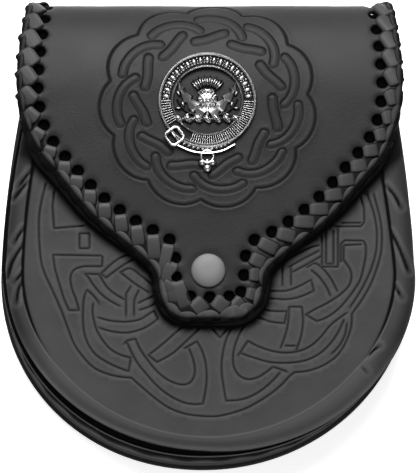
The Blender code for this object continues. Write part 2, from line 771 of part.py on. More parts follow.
def build_rivets():
    """Domed rivets that hold the keepers' tabs to the back, each with a flat cap inside."""
    for i, (x, y) in enumerate(rivet_places(), start=1):
        inside = back_face_z(y) + FLAP_LEATHER + 2 * GAP
        outside = back_face_z(y) - KEEPER_LEATHER - 2 * GAP - 0.3
        bm = bmesh.new()
        lathe(bm, (x, y, 0.0), [
            (0.0, outside - RIVET_HEAD), (RIVET_RADIUS * 0.6, outside - RIVET_HEAD * 0.85),
            (RIVET_RADIUS, outside - 0.3), (RIVET_RADIUS, outside), (RIVET_POST_RADIUS, outside),
            (RIVET_POST_RADIUS, inside), (RIVET_RADIUS, inside), (RIVET_RADIUS, inside + 0.9),
            (0.0, inside + 0.9),
        ], RIVET_SIDES)
        add_object(f"keeper_rivet_{i}", bm, SATIN_NICKEL)


def main():
    clear_scene()
    build_front_panel()
    build_gusset()
    build_back_and_flap()
    build_edge_lacing()
    build_snap()
    build_badge()
    build_keeper("keeper_left", -KEEPER_X)
    build_keeper("keeper_right", KEEPER_X)
    build_rivets()


main()
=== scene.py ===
"""Sporran pouch: the finished surfaces of a moulded black leather pouch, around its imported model.

The pouch lies on its back, front up: +X is its right, +Y its folded top edge, +Z its front.
Tables and driving sizes are in millimetres, and MM turns them into metres for the meshes.
"""

import math
from collections import namedtuple

import bpy
import numpy as np
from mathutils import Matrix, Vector, kdtree
from mathutils.geometry import delaunay_2d_cdt


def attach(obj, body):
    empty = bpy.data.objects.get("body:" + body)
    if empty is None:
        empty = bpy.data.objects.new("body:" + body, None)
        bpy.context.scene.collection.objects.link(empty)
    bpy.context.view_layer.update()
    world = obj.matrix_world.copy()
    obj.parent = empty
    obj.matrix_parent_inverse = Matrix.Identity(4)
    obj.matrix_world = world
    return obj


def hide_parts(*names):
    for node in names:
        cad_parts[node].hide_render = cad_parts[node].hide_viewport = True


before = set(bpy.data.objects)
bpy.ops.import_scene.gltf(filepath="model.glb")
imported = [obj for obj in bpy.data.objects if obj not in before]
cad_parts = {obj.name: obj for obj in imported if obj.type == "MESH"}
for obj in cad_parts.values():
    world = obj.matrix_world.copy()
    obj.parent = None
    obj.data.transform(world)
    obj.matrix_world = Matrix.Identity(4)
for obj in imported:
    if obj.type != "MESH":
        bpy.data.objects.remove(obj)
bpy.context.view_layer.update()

bl_info = {
    "name": "Sporran Pouch",
    "version": (1, 0, 0),
    "blender": (4, 5, 0),
    "location": "View3D > Sidebar > Sporran",
    "description": "Finishes a moulded leather sporran pouch with its lacing and silver",
    "category": "Object",
}

MM = 0.001
BODY = "root"

def table(columns, *rows):
    """The rows of a table with named columns."""
    Row = namedtuple("Row", columns)
    return [Row(*row) for row in rows]


# === Camera and chart ===
# The camera's own picture is also the chart on which the pressed lines are drawn, in its pixels.

CHART_WIDTH, CHART_HEIGHT = 416, 473
CHART_SCALE = 0.438
VIEW_ELEVATION = 80.0
VIEW_TARGET = np.array([0.5, -1.5, 25.0])
VIEW_DISTANCE = 1600.0
SENSOR_WIDTH = 36.0
PIXELS_AT_UNIT_DEPTH = VIEW_DISTANCE / CHART_SCALE

# === The pouch's own sizes, as in its construction ===

FLAP_LEATHER = 2.2
PANEL_LEATHER = 2.0
GUSSET_LEATHER = 1.6
KEEPER_LEATHER = 1.8
GAP = 0.3

FIELD_Z = 36.0
WIDEST_Z = 27.0
FLANGE_Z = 22.0
FLAP_TOP_Z = 40.4
FOLD_Z = 22.4
BACK_SLOPE = 0.048

BOTTOM_Y = -101.6
MOUTH_Y = 74.0
FOLD_REACH_Y = 102.7
FLAP_BEND_Y = 58.3
BACK_BEND_Y = 84.3

FLAP_X = 1.3
HOLE_PITCH = 8.45
RIGHT_DROP = 1.9
RIGHT_DROP_AT = 26.0
RIGHT_DROP_REACH = 26.0
TONGUE_HALF_WIDTH = 12.5
LEFT_CORNER_SLACK = 3.4
RIGHT_CORNER_SLACK = -2.5
LACING_END_Y = 88.0

FLAP_OUTLINE = table("half_width along",
    (0.0, -42.1), (11.5, -41.0), (17.8, -37.4), (21.6, -32.0), (23.2, -26.5), (25.2, -19.0), (34.8, -9.6),
    (51.0, 4.1), (66.5, 22.9), (74.9, 33.5), (80.8, 49.0), (82.6, 64.1), (81.4, 83.0), (78.6, 105.0),
    (78.4, 116.0), (79.0, 127.0))
HOLE_LINE = table("half_width along",
    (0.0, -30.8), (8.0, -30.6), (13.6, -27.6), (14.8, -21.0), (15.1, -13.9), (17.6, -5.4), (24.5, -1.5),
    (32.2, 2.8), (46.7, 13.4), (58.3, 25.8), (66.5, 35.4), (71.8, 43.5), (74.6, 54.0), (75.4, 64.0),
    (74.4, 80.0), (72.6, 97.0), (71.6, 112.0), (71.6, 127.0))

# The body's outlines: roundness is that of the left and of the right lower corner, and the moulded
# front sits a little to the right of the flange that it rises from.
Outline = namedtuple("Outline", "half_width widest_y bottom_y left_round right_round aside top_y "
                                "top_half_width lean")
CREASE = Outline(80.9, -19.3, -91.5, 1.95, 1.92, 0.8, MOUTH_Y, 67.3, 0.0)
BULGE = Outline(90.2, -16.0, -96.5, 1.95, 2.08, 1.9, MOUTH_Y, 77.6, 1.0)
FLANGE = Outline(90.0, -13.6, -98.1, 2.00, 2.15, 0.1, MOUTH_Y, 77.0, 1.0)
BACK = Outline(91.0, -15.5, BOTTOM_Y, 2.05, 2.03, 0.0, BACK_BEND_Y, 79.0, 1.0)
GUSSET_BACK = BACK._replace(top_y=MOUTH_Y, top_half_width=80.2)
BACK_END = 0.985
SIDE_TAPER = (1.75, 1.25)
ROUND_SHARE = 0.62
LEAN = 0.0165
LEAN_CURVE = 0.00005
LEAN_Y = -15.0

SNAP_X, SNAP_Y = 0.6, -19.2
SNAP_RADIUS = 7.4
SNAP_DOME = 2.1
POST_RADIUS = 2.3
BADGE_X, BADGE_Y = 0.2, 54.6
BADGE_RADIUS = 21.5
BADGE_INNER_RADIUS = 14.7
BADGE_PIN_X = 17.6
BADGE_PIN_RADIUS = 0.9

KEEPER_X = 45.0
KEEPER_WIDTH = 20.0
KEEPER_Y = 53.0
KEEPER_FLAT = 22.0
KEEPER_RAMP = 5.0
KEEPER_TAB = 11.0
RIVET_RADIUS = 3.6
RIVET_HEAD = 1.3
RIVET_EDGE = 0.25


# === Curves and small maths ===

def spline(points, steps):
    """A Catmull-Rom curve through the points, with the given number of steps to each span."""
    points = np.asarray(points, dtype=float)
    padded = np.vstack([2 * points[0] - points[1], points, 2 * points[-1] - points[-2]])
    curve = []
    for a, b, c, d in zip(padded, padded[1:], padded[2:], padded[3:]):
        for t in np.arange(steps) / steps:
            curve.append(0.5 * (2 * b + (c - a) * t + (2 * a - 5 * b + 4 * c - d) * t**2
                                + (3 * b - a - 3 * c + d) * t**3))
    curve.append(points[-1])
    return np.array(curve)


def running_length(points):
    steps = np.linalg.norm(np.diff(points, axis=0), axis=1)
    return np.concatenate([[0.0], np.cumsum(steps)])


def read_off(places, known, rows):
    """Every column of a table's rows, interpolated at places between the rows' known places."""
    return np.stack([np.interp(places, known, column) for column in np.transpose(rows)], axis=-1)


def at_spacing(points, spacing):
    """Points at equal spacing along an open curve, about a spacing apart."""
    points = np.asarray(points, dtype=float)
    length = running_length(points)
    count = max(2, int(round(length[-1] / spacing)) + 1)
    return read_off(np.linspace(0.0, length[-1], count), length, points)


def looped(points):
    """A closed loop's points with the first repeated at the end."""
    return np.vstack([points, points[:1]])


def edge_normals(points):
    """Unit normals of an open flat curve, to the right of its direction of travel."""
    along = unit(np.gradient(points, axis=0))
    return np.column_stack([along[:, 1], -along[:, 0]])


def unit(vectors):
    vectors = np.asarray(vectors, dtype=float)
    return vectors / np.linalg.norm(vectors, axis=-1, keepdims=True)


def ramp(value):
    """A value held between 0 and 1."""
    return np.clip(value, 0.0, 1.0)


def hill(distance, width):
    return np.exp(-(np.asarray(distance) / width) ** 2)


def circle(x, y, radius, sides):
    turns = 2.0 * np.pi * np.arange(sides) / sides
    return np.column_stack([x + radius * np.cos(turns), y + radius * np.sin(turns)])


def nearest(points, samples):
    """The number of the sample nearest to each point, and how far away it is."""
    tree = kdtree.KDTree(len(samples))
    level = (0.0,) * (3 - len(samples[0]))
    for i, sample in enumerate(samples):
        tree.insert((*sample, *level), i)
    tree.balance()
    found = [tree.find((*point, *level)) for point in points]
    return np.array([hit[1] for hit in found]), np.array([hit[2] for hit in found])


def distances(points, samples):
    return nearest(points, samples)[1]


def inside(points, loop):
    """Which of the points lie inside a closed flat loop."""
    x, y = points.T
    found = np.zeros(len(points), dtype=bool)
    for (x0, y0), (x1, y1) in zip(loop, np.roll(loop, -1, axis=0)):
        if y0 != y1:
            found ^= ((y0 > y) != (y1 > y)) & (x < (x1 - x0) * (y - y0) / (y1 - y0) + x0)
    return found


def undulation(points):
    """The slow rise and fall of hide that has been handled, about a tenth of a millimetre."""
    x, y = points[:, 0], points[:, 1]
    return (0.07 * np.sin(0.083 * x + 0.041 * y + 0.6) * np.sin(0.067 * y - 0.029 * x + 1.1)
            + 0.035 * np.sin(0.21 * x - 0.12 * y + 2.0) * np.sin(0.17 * y + 0.09 * x))


def view_axes():
    """The camera's place, and its forward and upward directions."""
    tilt = math.radians(VIEW_ELEVATION)
    forward = np.array([0.0, math.cos(tilt), -math.sin(tilt)])
    upward = np.array([0.0, math.sin(tilt), math.cos(tilt)])
    return VIEW_TARGET - VIEW_DISTANCE * forward, forward, upward


def to_chart(points):
    """Where points of the pouch fall on the chart."""
    eye, forward, upward = view_axes()
    seen = np.asarray(points) - eye
    depth = seen @ forward
    return np.column_stack([CHART_WIDTH / 2 + PIXELS_AT_UNIT_DEPTH * seen[:, 0] / depth,
                            CHART_HEIGHT / 2 - PIXELS_AT_UNIT_DEPTH * (seen @ upward) / depth])


def from_chart(chart, height):
    """Where points of the chart fall on the level plane at a height, as (x, y)."""
    eye, forward, upward = view_axes()
    chart = np.asarray(chart, dtype=float)
    across = (chart[:, 0] - CHART_WIDTH / 2) / PIXELS_AT_UNIT_DEPTH
    up = (CHART_HEIGHT / 2 - chart[:, 1]) / PIXELS_AT_UNIT_DEPTH
    rays = forward + np.outer(across, [1.0, 0.0, 0.0]) + np.outer(up, upward)
    reach = (height - eye[2]) / rays[:, 2]
    return (eye + rays * reach[:, None])[:, :2]


# === Making meshes ===

def new_object(name, points, edges, faces, **layers):
    """A mesh object from points in millimetres, with numbers or vectors stored at its points."""
    mesh = bpy.data.meshes.new(name)
    mesh.from_pydata((np.asarray(points) * MM).tolist(), edges, faces)
    mesh.update()
    for layer, values in layers.items():
        add_layer(mesh, layer, values)
    piece = bpy.data.objects.new(name, mesh)
    bpy.context.scene.collection.objects.link(piece)
    return piece


def add_layer(mesh, name, values):
    """Stores a number or a vector at each point of a mesh."""
    values = np.asarray(values, dtype=float)
    kind, field = ("FLOAT_VECTOR", "vector") if values.ndim == 2 else ("FLOAT", "value")
    mesh.attributes.new(name, kind, "POINT").data.foreach_set(field, values.ravel())


def smooth_but_for(mesh, sharp):
    """Shades a mesh smooth, but for edges sharper than an angle."""
    mesh.shade_smooth()
    mesh.set_sharp_from_angle(angle=math.radians(sharp))


def add_mesh(name, points, faces, material, sharp=50.0, **layers):
    """A mesh object with its shading and its material."""
    piece = new_object(name, points, [], faces, **layers)
    smooth_but_for(piece.data, sharp)
    piece.data.materials.append(finish_of(material))
    return piece


def points_of(piece):
    """A mesh object's points in millimetres."""
    return np.array([vertex.co for vertex in piece.data.vertices]) / MM


def finish(piece, slot, *nodes):
    """Puts a finished piece on the pouch: on its body, hiding the solids it stands for. Its slot is not
    used.
    """
    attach(piece, BODY)
    if nodes:
        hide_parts(*nodes)


def outward(points, faces):
    """The faces, turned round if together they face inwards."""
    points = np.asarray(points)
    corners = np.array([face[:3] for face in faces])
    rest = np.array([(face[0], face[2], face[3]) for face in faces if len(face) == 4])
    corners = np.vstack([corners, rest]) if len(rest) else corners
    a, b, c = (points[corners[:, k]] for k in range(3))
    volume = np.einsum("ij,ij->i", a, np.cross(b, c)).sum()
    return [tuple(reversed(face)) for face in faces] if volume < 0 else faces


def closed_shell(outer, inner, faces):
    """A wall between an outer and an inner surface of the same layout, closed along every open edge."""
    count = len(outer)
    directed = {edge for face in faces for edge in zip(face, (*face[1:], face[0]))}
    open_edges = [(a, b) for a, b in directed if (b, a) not in directed]
    solid = [tuple(face) for face in faces]
    solid += [tuple(i + count for i in reversed(face)) for face in faces]
    solid += sorted((b, a, a + count, b + count) for a, b in open_edges)
    points = np.vstack([outer, inner])
    return points, outward(points, solid)


def grid_faces(rows, columns, rings=False, closed=False):
    """Quads of a grid of points stored row by row.

    Rings joins the two ends of each row, and closed joins the last row to the first.
    """
    faces = []
    for i in range(rows if closed else rows - 1):
        here, following = i * columns, (i + 1) % rows * columns
        for j in range(columns if rings else columns - 1):
            k = (j + 1) % columns
            faces.append((here + j, here + k, following + k, following + j))
    return faces


def loft(sections):
    """A closed solid through rings of equal length, with a fan over each end."""
    rings = np.array(sections)
    count = rings.shape[1]
    points = np.vstack([rings.reshape(-1, 3), rings[0].mean(axis=0), rings[-1].mean(axis=0)])
    faces = grid_faces(len(rings), count, rings=True)
    first, last = len(points) - 2, len(points) - 1
    top = (len(rings) - 1) * count
    for j in range(count):
        k = (j + 1) % count
        faces += [(first, k, j), (last, top + j, top + k)]
    return points, outward(points, faces)


def hoop(sections):
    """A closed solid through rings of equal length, the last joined to the first."""
    rings = np.array(sections)
    points = rings.reshape(-1, 3)
    return points, outward(points, grid_faces(len(rings), rings.shape[1], rings=True, closed=True))


def lathe(x, y, profile, sides):
    """Turns (radius, height) rows about a vertical axis. The first and last rows are on the axis."""
    rings = [np.column_stack([circle(x, y, radius, sides), np.full(sides, height)])
             for radius, height in profile[1:-1]]
    points, faces = loft(rings)
    points[-2] = (x, y, profile[0][1])
    points[-1] = (x, y, profile[-1][1])
    return points, outward(points, faces)


def joined(parts):
    """Several (points, faces) pairs as one."""
    faces, start = [], 0
    for part_points, part_faces in parts:
        faces += [tuple(i + start for i in face) for face in part_faces]
        start += len(part_points)
    return np.vstack([part_points for part_points, _ in parts]), faces


def hex_fill(loop, spacing):
    """A triangular pattern of points over the box round a loop."""
    low, high = loop.min(axis=0), loop.max(axis=0)
    rows = []
    for i, y in enumerate(np.arange(low[1], high[1], spacing * math.sqrt(3) / 2)):
        x = np.arange(low[0] + (i % 2) * spacing / 2, high[0], spacing)
        rows.append(np.column_stack([x, np.full(len(x), y)]))
    return np.vstack(rows)


SLIVER = 0.26
WELD = 1e-5


def flat_mesh(loops, rails, lines, spacing, clear):
    """Triangles over a flat region, dense on its rails and open elsewhere, without slivers.

    The first loop bounds the region and the others are holes. Open ground starts clear of the lines.
    """
    def within(places):
        kept = inside(places, loops[0])
        for hole in loops[1:]:
            kept &= ~inside(places, hole)
        return kept

    edge = np.vstack(loops)
    fill = hex_fill(loops[0], spacing)
    if len(lines):
        fill = fill[distances(fill, lines) > clear]
    points = np.vstack([rails, fill])
    _, first_in_cell = np.unique(np.round(points / SLIVER).astype(int), axis=0, return_index=True)
    points = points[np.sort(first_in_cell)]
    points = points[within(points)]
    points = points[distances(points, edge) > SLIVER]
    given = [Vector(point) for point in np.vstack([edge, points])]
    borders, start = [], 0
    for loop in loops:
        count = len(loop)
        borders += [(start + i, start + (i + 1) % count) for i in range(count)]
        start += count
    found, _, faces, sources, _, _ = delaunay_2d_cdt(given, borders, [], 0, WELD)
    found = np.array([tuple(point) for point in found])
    faces = np.array([tuple(face) for face in faces])
    faces = faces[within(found[faces].mean(axis=1))].tolist()
    place_of = {source: i for i, group in enumerate(sources) for source in group}
    return found, [tuple(face) for face in faces], place_of


def rails_beside(line, offsets, spacing):
    """Points along a line at each offset to its side."""
    line = at_spacing(line, spacing)
    normals = edge_normals(line)
    return np.vstack([line + offset * normals for offset in offsets])


def both_sides(*offsets):
    """Each offset to the left and to the right."""
    return [side * offset for offset in offsets for side in (-1, 1)]


# === Node trees ===

def feed(node, inputs):
    """Sets a node's inputs by name or number: to a value, a socket, or a node's first output in use."""
    for key, value in inputs.items():
        if isinstance(value, bpy.types.Node):
            value = next(socket for socket in value.outputs if socket.enabled)
        if isinstance(value, bpy.types.NodeSocket):
            node.id_data.links.new(value, node.inputs[key])
        else:
            node.inputs[key].default_value = value
    return node


def add_node(tree, kind, inputs=None, **settings):
    """A node with its settings and its inputs."""
    node = tree.nodes.new(kind)
    for setting, value in settings.items():
        setattr(node, setting, value)
    return feed(node, inputs or {})


def maths(tree, operation, *values):
    return add_node(tree, "ShaderNodeMath", dict(enumerate(values)), operation=operation)


def remap(tree, value, low, high, to_low=0.0, to_high=1.0):
    """A value carried from one range to another, and held inside it."""
    return add_node(tree, "ShaderNodeMapRange", {"Value": value, "From Min": low, "From Max": high,
                                                 "To Min": to_low, "To Max": to_high})


def blend_colours(tree, share, first, second):
    return add_node(tree, "ShaderNodeMix", {0: share, 6: first, 7: second}, data_type="RGBA")


def noise(tree, place, scale, detail, **others):
    return add_node(tree, "ShaderNodeTexNoise",
                    {"Vector": place, "Scale": scale, "Detail": detail, **others})


def stored(tree, name, kind="FLOAT"):
    """What a mesh stores at its points under a name."""
    return add_node(tree, "GeometryNodeInputNamedAttribute", {"Name": name}, data_type=kind)


def store(tree, geometry, name, value):
    return add_node(tree, "GeometryNodeStoreNamedAttribute",
                    {"Geometry": geometry, "Name": name, "Value": value},
                    data_type="FLOAT", domain="POINT")


SOCKETS = {"S": "NodeSocketFloat", "V": "NodeSocketVector", "C": "NodeSocketColor",
           "G": "NodeSocketGeometry", "O": "NodeSocketObject", "M": "NodeSocketMaterial"}


def new_tree(name, kind, inputs, outputs):
    """A node group with its sockets, the values it is given and its output node.

    An input is (letter of its kind, name, default or None), and an output (letter, name).
    """
    tree = bpy.data.node_groups.new(name, kind)
    for letter, label, default in inputs:
        made = tree.interface.new_socket(label, in_out="INPUT", socket_type=SOCKETS[letter])
        if default is not None:
            made.default_value = default
    for letter, label in outputs:
        tree.interface.new_socket(label, in_out="OUTPUT", socket_type=SOCKETS[letter])
    return tree, add_node(tree, "NodeGroupInput").outputs, add_node(tree, "NodeGroupOutput")


def close_tree(tree, geometry, given, result):
    """Ends a Geometry Nodes tree in real geometry with its material."""
    real = add_node(tree, "GeometryNodeRealizeInstances", {"Geometry": geometry})
    feed(result, {"Geometry": add_node(tree, "GeometryNodeSetMaterial",
                                       {"Geometry": real, "Material": given["Material"]})})


def run_nodes(piece, tree_name, **values):
    """Runs a Geometry Nodes tree on a piece and keeps its result as a plain mesh."""
    tree = bpy.data.node_groups[tree_name]
    modifier = piece.modifiers.new(tree.name, "NODES")
    modifier.node_group = tree
    for item in tree.interface.items_tree:
        key = item.name.lower().replace(" ", "_")
        if item.in_out == "INPUT" and key in values:
            modifier[item.identifier] = values[key]
    bpy.context.view_layer.update()
    seen = piece.evaluated_get(bpy.context.evaluated_depsgraph_get())
    mesh = bpy.data.meshes.new_from_object(seen)
    piece.modifiers.clear()
    old, piece.data = piece.data, mesh
    bpy.data.meshes.remove(old)
    smooth_but_for(mesh, 50.0)
    return piece


# Where the painted shade along a strap's edges starts and where it is full, as shares of its width.
RIM_START, RIM_FULL = 0.385, 0.46


def strap_tree():
    """Sweeps a flat strap with rounded edges, and painted shade along them, along each path of a mesh of
    lines.
    """
    tree, given, result = new_tree("swept_strap", "GeometryNodeTree", (
        ("G", "Geometry", None), ("O", "Section", None), ("S", "Width", 0.005), ("S", "Thickness", 0.001),
        ("S", "Rim Tone", 0.8), ("M", "Material", None)), [("G", "Geometry")])
    path = add_node(tree, "GeometryNodeMeshToCurve", {"Mesh": given["Geometry"]})
    turned = add_node(tree, "GeometryNodeSetCurveNormal",
                      {"Curve": path, "Normal": stored(tree, "facing", "FLOAT_VECTOR")}, mode="FREE")
    shape = add_node(tree, "GeometryNodeObjectInfo", {"Object": given["Section"]})
    section = add_node(tree, "GeometryNodeMeshToCurve", {"Mesh": shape.outputs["Geometry"]})
    across = add_node(tree, "ShaderNodeSeparateXYZ",
                      {"Vector": add_node(tree, "GeometryNodeInputPosition")}).outputs["Y"]
    rim = remap(tree, maths(tree, "ABSOLUTE", across), RIM_START, RIM_FULL)
    size = add_node(tree, "ShaderNodeCombineXYZ", {"X": given["Thickness"], "Y": given["Width"], "Z": 1.0})
    sized = add_node(tree, "GeometryNodeTransform",
                     {"Geometry": store(tree, section, "rim", rim), "Scale": size})
    swept = add_node(tree, "GeometryNodeCurveToMesh", {"Curve": turned, "Profile Curve": sized,
                                                       "Scale": stored(tree, "swell"), "Fill Caps": True})
    darker = maths(tree, "MULTIPLY", stored(tree, "rim"), given["Rim Tone"])
    tone = maths(tree, "SUBTRACT", stored(tree, "relief"), darker)
    close_tree(tree, store(tree, swept, "relief", tone), given, result)


SECTION_QUARTER = [(0.5, 0.17), (0.49, 0.37), (0.42, 0.455), (0.2, 0.5)]


def strap_section():
    """The strap's section, one metre by one, as a closed line: thickness along X and width along Y."""
    points = SECTION_QUARTER + [(-x, y) for x, y in SECTION_QUARTER[::-1]]
    points += [(-x, -y) for x, y in points]
    count = len(points)
    return new_object("strap_section", np.array([(x, y, 0.0) for x, y in points]) / MM,
                      [(i, (i + 1) % count) for i in range(count)], [])


def scatter_tree():
    """Sets a copy of a small shape at each point, turned to the point's own two axes."""
    tree, given, result = new_tree("set_on_points", "GeometryNodeTree", (
        ("G", "Geometry", None), ("O", "Shape", None), ("S", "Size", 1.0), ("M", "Material", None)),
        [("G", "Geometry")])
    shape = add_node(tree, "GeometryNodeObjectInfo", {"Object": given["Shape"], "As Instance": True})
    turn = add_node(tree, "FunctionNodeAxesToRotation",
                    {"Primary Axis": stored(tree, "facing", "FLOAT_VECTOR"),
                     "Secondary Axis": stored(tree, "along", "FLOAT_VECTOR")},
                    primary_axis="Z", secondary_axis="X")
    copies = add_node(tree, "GeometryNodeInstanceOnPoints",
                      {"Points": given["Geometry"], "Instance": shape.outputs["Geometry"], "Rotation": turn,
                       "Scale": maths(tree, "MULTIPLY", stored(tree, "swell"), given["Size"])})
    close_tree(tree, copies, given, result)


def path_object(name, paths):
    """A mesh of open lines, each path giving its points, facing directions, swell and tone."""
    points, facing, swell, tone = (np.concatenate(column) for column in zip(*paths))
    edges, start = [], 0
    for path_points, *_ in paths:
        edges += [(start + i, start + i + 1) for i in range(len(path_points) - 1)]
        start += len(path_points)
    return new_object(name, points, edges, [], facing=facing, swell=swell, relief=tone)


# === Materials ===

def grain_group():
    """Smooth hide: a height from pores and fine creases, and a slow mottling for colour and gloss."""
    tree, given, result = new_tree("hide_grain", "ShaderNodeTree", (
        ("V", "Vector", None), ("S", "Pore Scale", 900.0), ("S", "Crease Scale", 260.0),
        ("S", "Crease Share", 0.5), ("S", "Mottle Scale", 45.0)), [("S", "Height"), ("S", "Mottle")])
    pores = add_node(tree, "ShaderNodeTexVoronoi",
                     {"Vector": given["Vector"], "Scale": given["Pore Scale"]}, feature="SMOOTH_F1")
    creases = noise(tree, given["Vector"], given["Crease Scale"], 4.0, Roughness=0.6, Distortion=0.4)
    height = add_node(tree, "ShaderNodeMix", {0: given["Crease Share"], 2: pores, 3: creases},
                      data_type="FLOAT")
    mottle = noise(tree, given["Vector"], given["Mottle Scale"], 3.0, Roughness=0.55)
    feed(result, {"Height": height, "Mottle": mottle})


def wear_group():
    """Colour and gloss of dyed hide with painted light: painted shade, dull and dark, where the relief
    layer is low, as in pressed lines; a painted highlight, paler, where it is high, as on what stands
    proud.
    """
    tree, given, result = new_tree("dye_and_wear", "ShaderNodeTree", (
        ("C", "Dye", None), ("C", "Pressed", None), ("C", "Rubbed", None), ("S", "Relief", 0.0),
        ("S", "Mottle", 0.5), ("S", "Mottle Amount", 0.25), ("S", "Smooth", 0.4), ("S", "Rough", 0.55)),
        [("C", "Colour"), ("S", "Roughness")])
    # Painted shade where the relief layer is low, and a painted highlight where it is high.
    pressed = remap(tree, given["Relief"], -0.05, -1.0)
    painted_highlight = remap(tree, given["Relief"], 0.02, 0.4)
    uneven = remap(tree, given["Mottle"], 0.3, 0.7, 0.0, given["Mottle Amount"])
    dyed = blend_colours(tree, uneven, given["Dye"], given["Rubbed"])
    lifted = blend_colours(tree, painted_highlight, dyed, given["Rubbed"])
    colour = blend_colours(tree, pressed, lifted, given["Pressed"])
    gloss = remap(tree, given["Mottle"], 0.25, 0.75, given["Smooth"], given["Rough"])
    feed(result, {"Colour": colour, "Roughness": maths(tree, "MULTIPLY_ADD", pressed, 0.40, gloss)})


def antique_group():
    """Cast metal blackened in its hollows: bright above one height and dark below another."""
    tree, given, result = new_tree("antiqued_metal", "ShaderNodeTree", (
        ("V", "Vector", None), ("C", "Bright", None), ("C", "Dark", None), ("S", "Relief", 0.0),
        ("S", "Brush Scale", 900.0), ("S", "Smooth", 0.24)),
        [("C", "Colour"), ("S", "Roughness"), ("S", "Height")])
    tarnish = noise(tree, given["Vector"], 420.0, 3.0)
    clean = remap(tree, maths(tree, "MULTIPLY_ADD", tarnish, 0.5, given["Relief"]), 0.35, 0.85)
    feed(result, {"Colour": blend_colours(tree, clean, given["Dark"], given["Bright"]),
                  "Roughness": remap(tree, clean, 0.0, 1.0, 0.6, given["Smooth"]),
                  "Height": noise(tree, given["Vector"], given["Brush Scale"], 2.0)})


# How much paler the hide is in its random mottle and in its painted highlights.
PALER_MOTTLE_AND_HIGHLIGHT = 1.75
HIDE_BUMP_DEPTH, METAL_BUMP_DEPTH = 0.0004, 0.0002
# The braid's row is a paler copy of the lace, for the braid's painted light; the gusset's hide is paler for
# its painted light; the last row is a near-black copy of the lace, painted shade for the lace in its holes
# and under the braid. Pressed is the share of the dye left where shade is painted.
HIDES = table("name dye pressed smooth rough pore_scale crease_scale crease_share bump mottle sheen",
    ("field_hide", 0.0247, 0.10, 0.48, 0.58, 1500.0, 420.0, 0.55, 0.22, 0.40, 0.055),
    ("flap_hide", 0.0100, 0.08, 0.36, 0.46, 1500.0, 420.0, 0.55, 0.20, 0.40, 0.080),
    ("gusset_hide", 0.052, 0.04, 0.50, 0.62, 1100.0, 300.0, 0.60, 0.22, 0.30, 0.06),
    ("lace_hide", 0.0185, 0.08, 0.34, 0.46, 1700.0, 500.0, 0.50, 0.12, 0.30, 0.10),
    ("braid_hide", 0.036, 0.05, 0.40, 0.52, 1700.0, 500.0, 0.50, 0.12, 0.30, 0.05),
    ("keeper_hide", 0.016, 0.22, 0.42, 0.52, 1300.0, 380.0, 0.55, 0.14, 0.25, 0.20),
    ("inner_lace", 0.003, 0.22, 0.85, 0.95, 1300.0, 380.0, 0.55, 0.10, 0.10, 0.02))
METALS = table("name bright dark brush_scale bump smooth",
    ("antique_silver", 0.42, 0.012, 1400.0, 0.10, 0.24),
    ("satin_nickel", 0.16, 0.10, 2600.0, 0.05, 0.75),
    ("rivet_nickel", 0.56, 0.20, 2200.0, 0.06, 0.34))


def grey(value):
    return (value, value, value, 1.0)


def start_material(name, values):
    """A material with plain values on its own shader, and the piece's own coordinates."""
    material = bpy.data.materials.new(name)
    material.use_nodes = True
    tree = material.node_tree
    shader = feed(tree.nodes["Principled BSDF"], values)
    return tree, shader, add_node(tree, "ShaderNodeTexCoord").outputs["Object"]


def add_group(tree, name, inputs):
    return add_node(tree, "ShaderNodeGroup", inputs, node_tree=bpy.data.node_groups[name])


def relief_of(tree):
    return add_node(tree, "ShaderNodeAttribute", attribute_name="relief").outputs["Fac"]


def close_material(tree, shader, group, height, bump, depth):
    """Puts a group's colour and roughness on the shader, and a bump from a height."""
    raised = add_node(tree, "ShaderNodeBump", {"Height": height, "Strength": bump, "Distance": depth})
    feed(shader, {"Base Color": group.outputs["Colour"], "Roughness": group.outputs["Roughness"],
                  "Normal": raised})


def hide_material(hide):
    """One black leather: grain, mottled gloss, painted shade in pressed lines and other shaded places, and
    painted highlights on high places.
    """
    tree, shader, place = start_material(hide.name, {"Specular IOR Level": hide.sheen})
    grain = add_group(tree, "hide_grain", {"Vector": place, "Pore Scale": hide.pore_scale,
                                           "Crease Scale": hide.crease_scale,
                                           "Crease Share": hide.crease_share})
    wear = add_group(tree, "dye_and_wear", {
        "Dye": grey(hide.dye), "Pressed": grey(hide.dye * hide.pressed), "Rubbed": grey(hide.dye * PALER_MOTTLE_AND_HIGHLIGHT),
        "Relief": relief_of(tree), "Mottle": grain.outputs["Mottle"], "Mottle Amount": hide.mottle,
        "Smooth": hide.smooth, "Rough": hide.rough})
    close_material(tree, shader, wear, grain.outputs["Height"], hide.bump, HIDE_BUMP_DEPTH)


def metal_material(metal):
    """One cast or pressed metal, with tarnish where its relief is low."""
    tree, shader, place = start_material(metal.name, {"Metallic": 1.0})
    group = add_group(tree, "antiqued_metal", {
        "Vector": place, "Relief": relief_of(tree), "Bright": grey(metal.bright), "Dark": grey(metal.dark),
        "Brush Scale": metal.brush_scale, "Smooth": metal.smooth})
    close_material(tree, shader, group, group.outputs["Height"], metal.bump, METAL_BUMP_DEPTH)


FLOOR_GLOW = 0.5
FLOOR_TINT = 0.985


def floor_material(colour):
    """A plain floor with a faint unevenness and a glow that keeps it near white."""
    tree, shader, place = start_material("pale_floor", {
        "Roughness": 0.9, "Emission Strength": FLOOR_GLOW, "Emission Color": grey(1.0)})
    tinted = (*(channel * FLOOR_TINT for channel in colour), 1.0)
    feed(shader, {"Base Color": blend_colours(tree, noise(tree, place, 6.0, 2.0), (*colour, 1.0), tinted)})


def build_materials():
    """Makes the shared groups and every finish once."""
    for build in (grain_group, wear_group, antique_group, strap_tree, scatter_tree):
        build()
    for hide in HIDES:
        hide_material(hide)
    for metal in METALS:
        metal_material(metal)


def finish_of(name):
    return bpy.data.materials[name]


# === The bent leather of flap and back ===

def lean(y):
    """Sideways shift of the body, whose lower end leans a little to the left."""
    rise = y - LEAN_Y
    return LEAN * rise - LEAN_CURVE * rise * rise


def back_face_z(y):
    """Height of the back's outer face, which rises from the bottom rim towards the fold."""
    return BACK_SLOPE * (y - BOTTOM_Y)


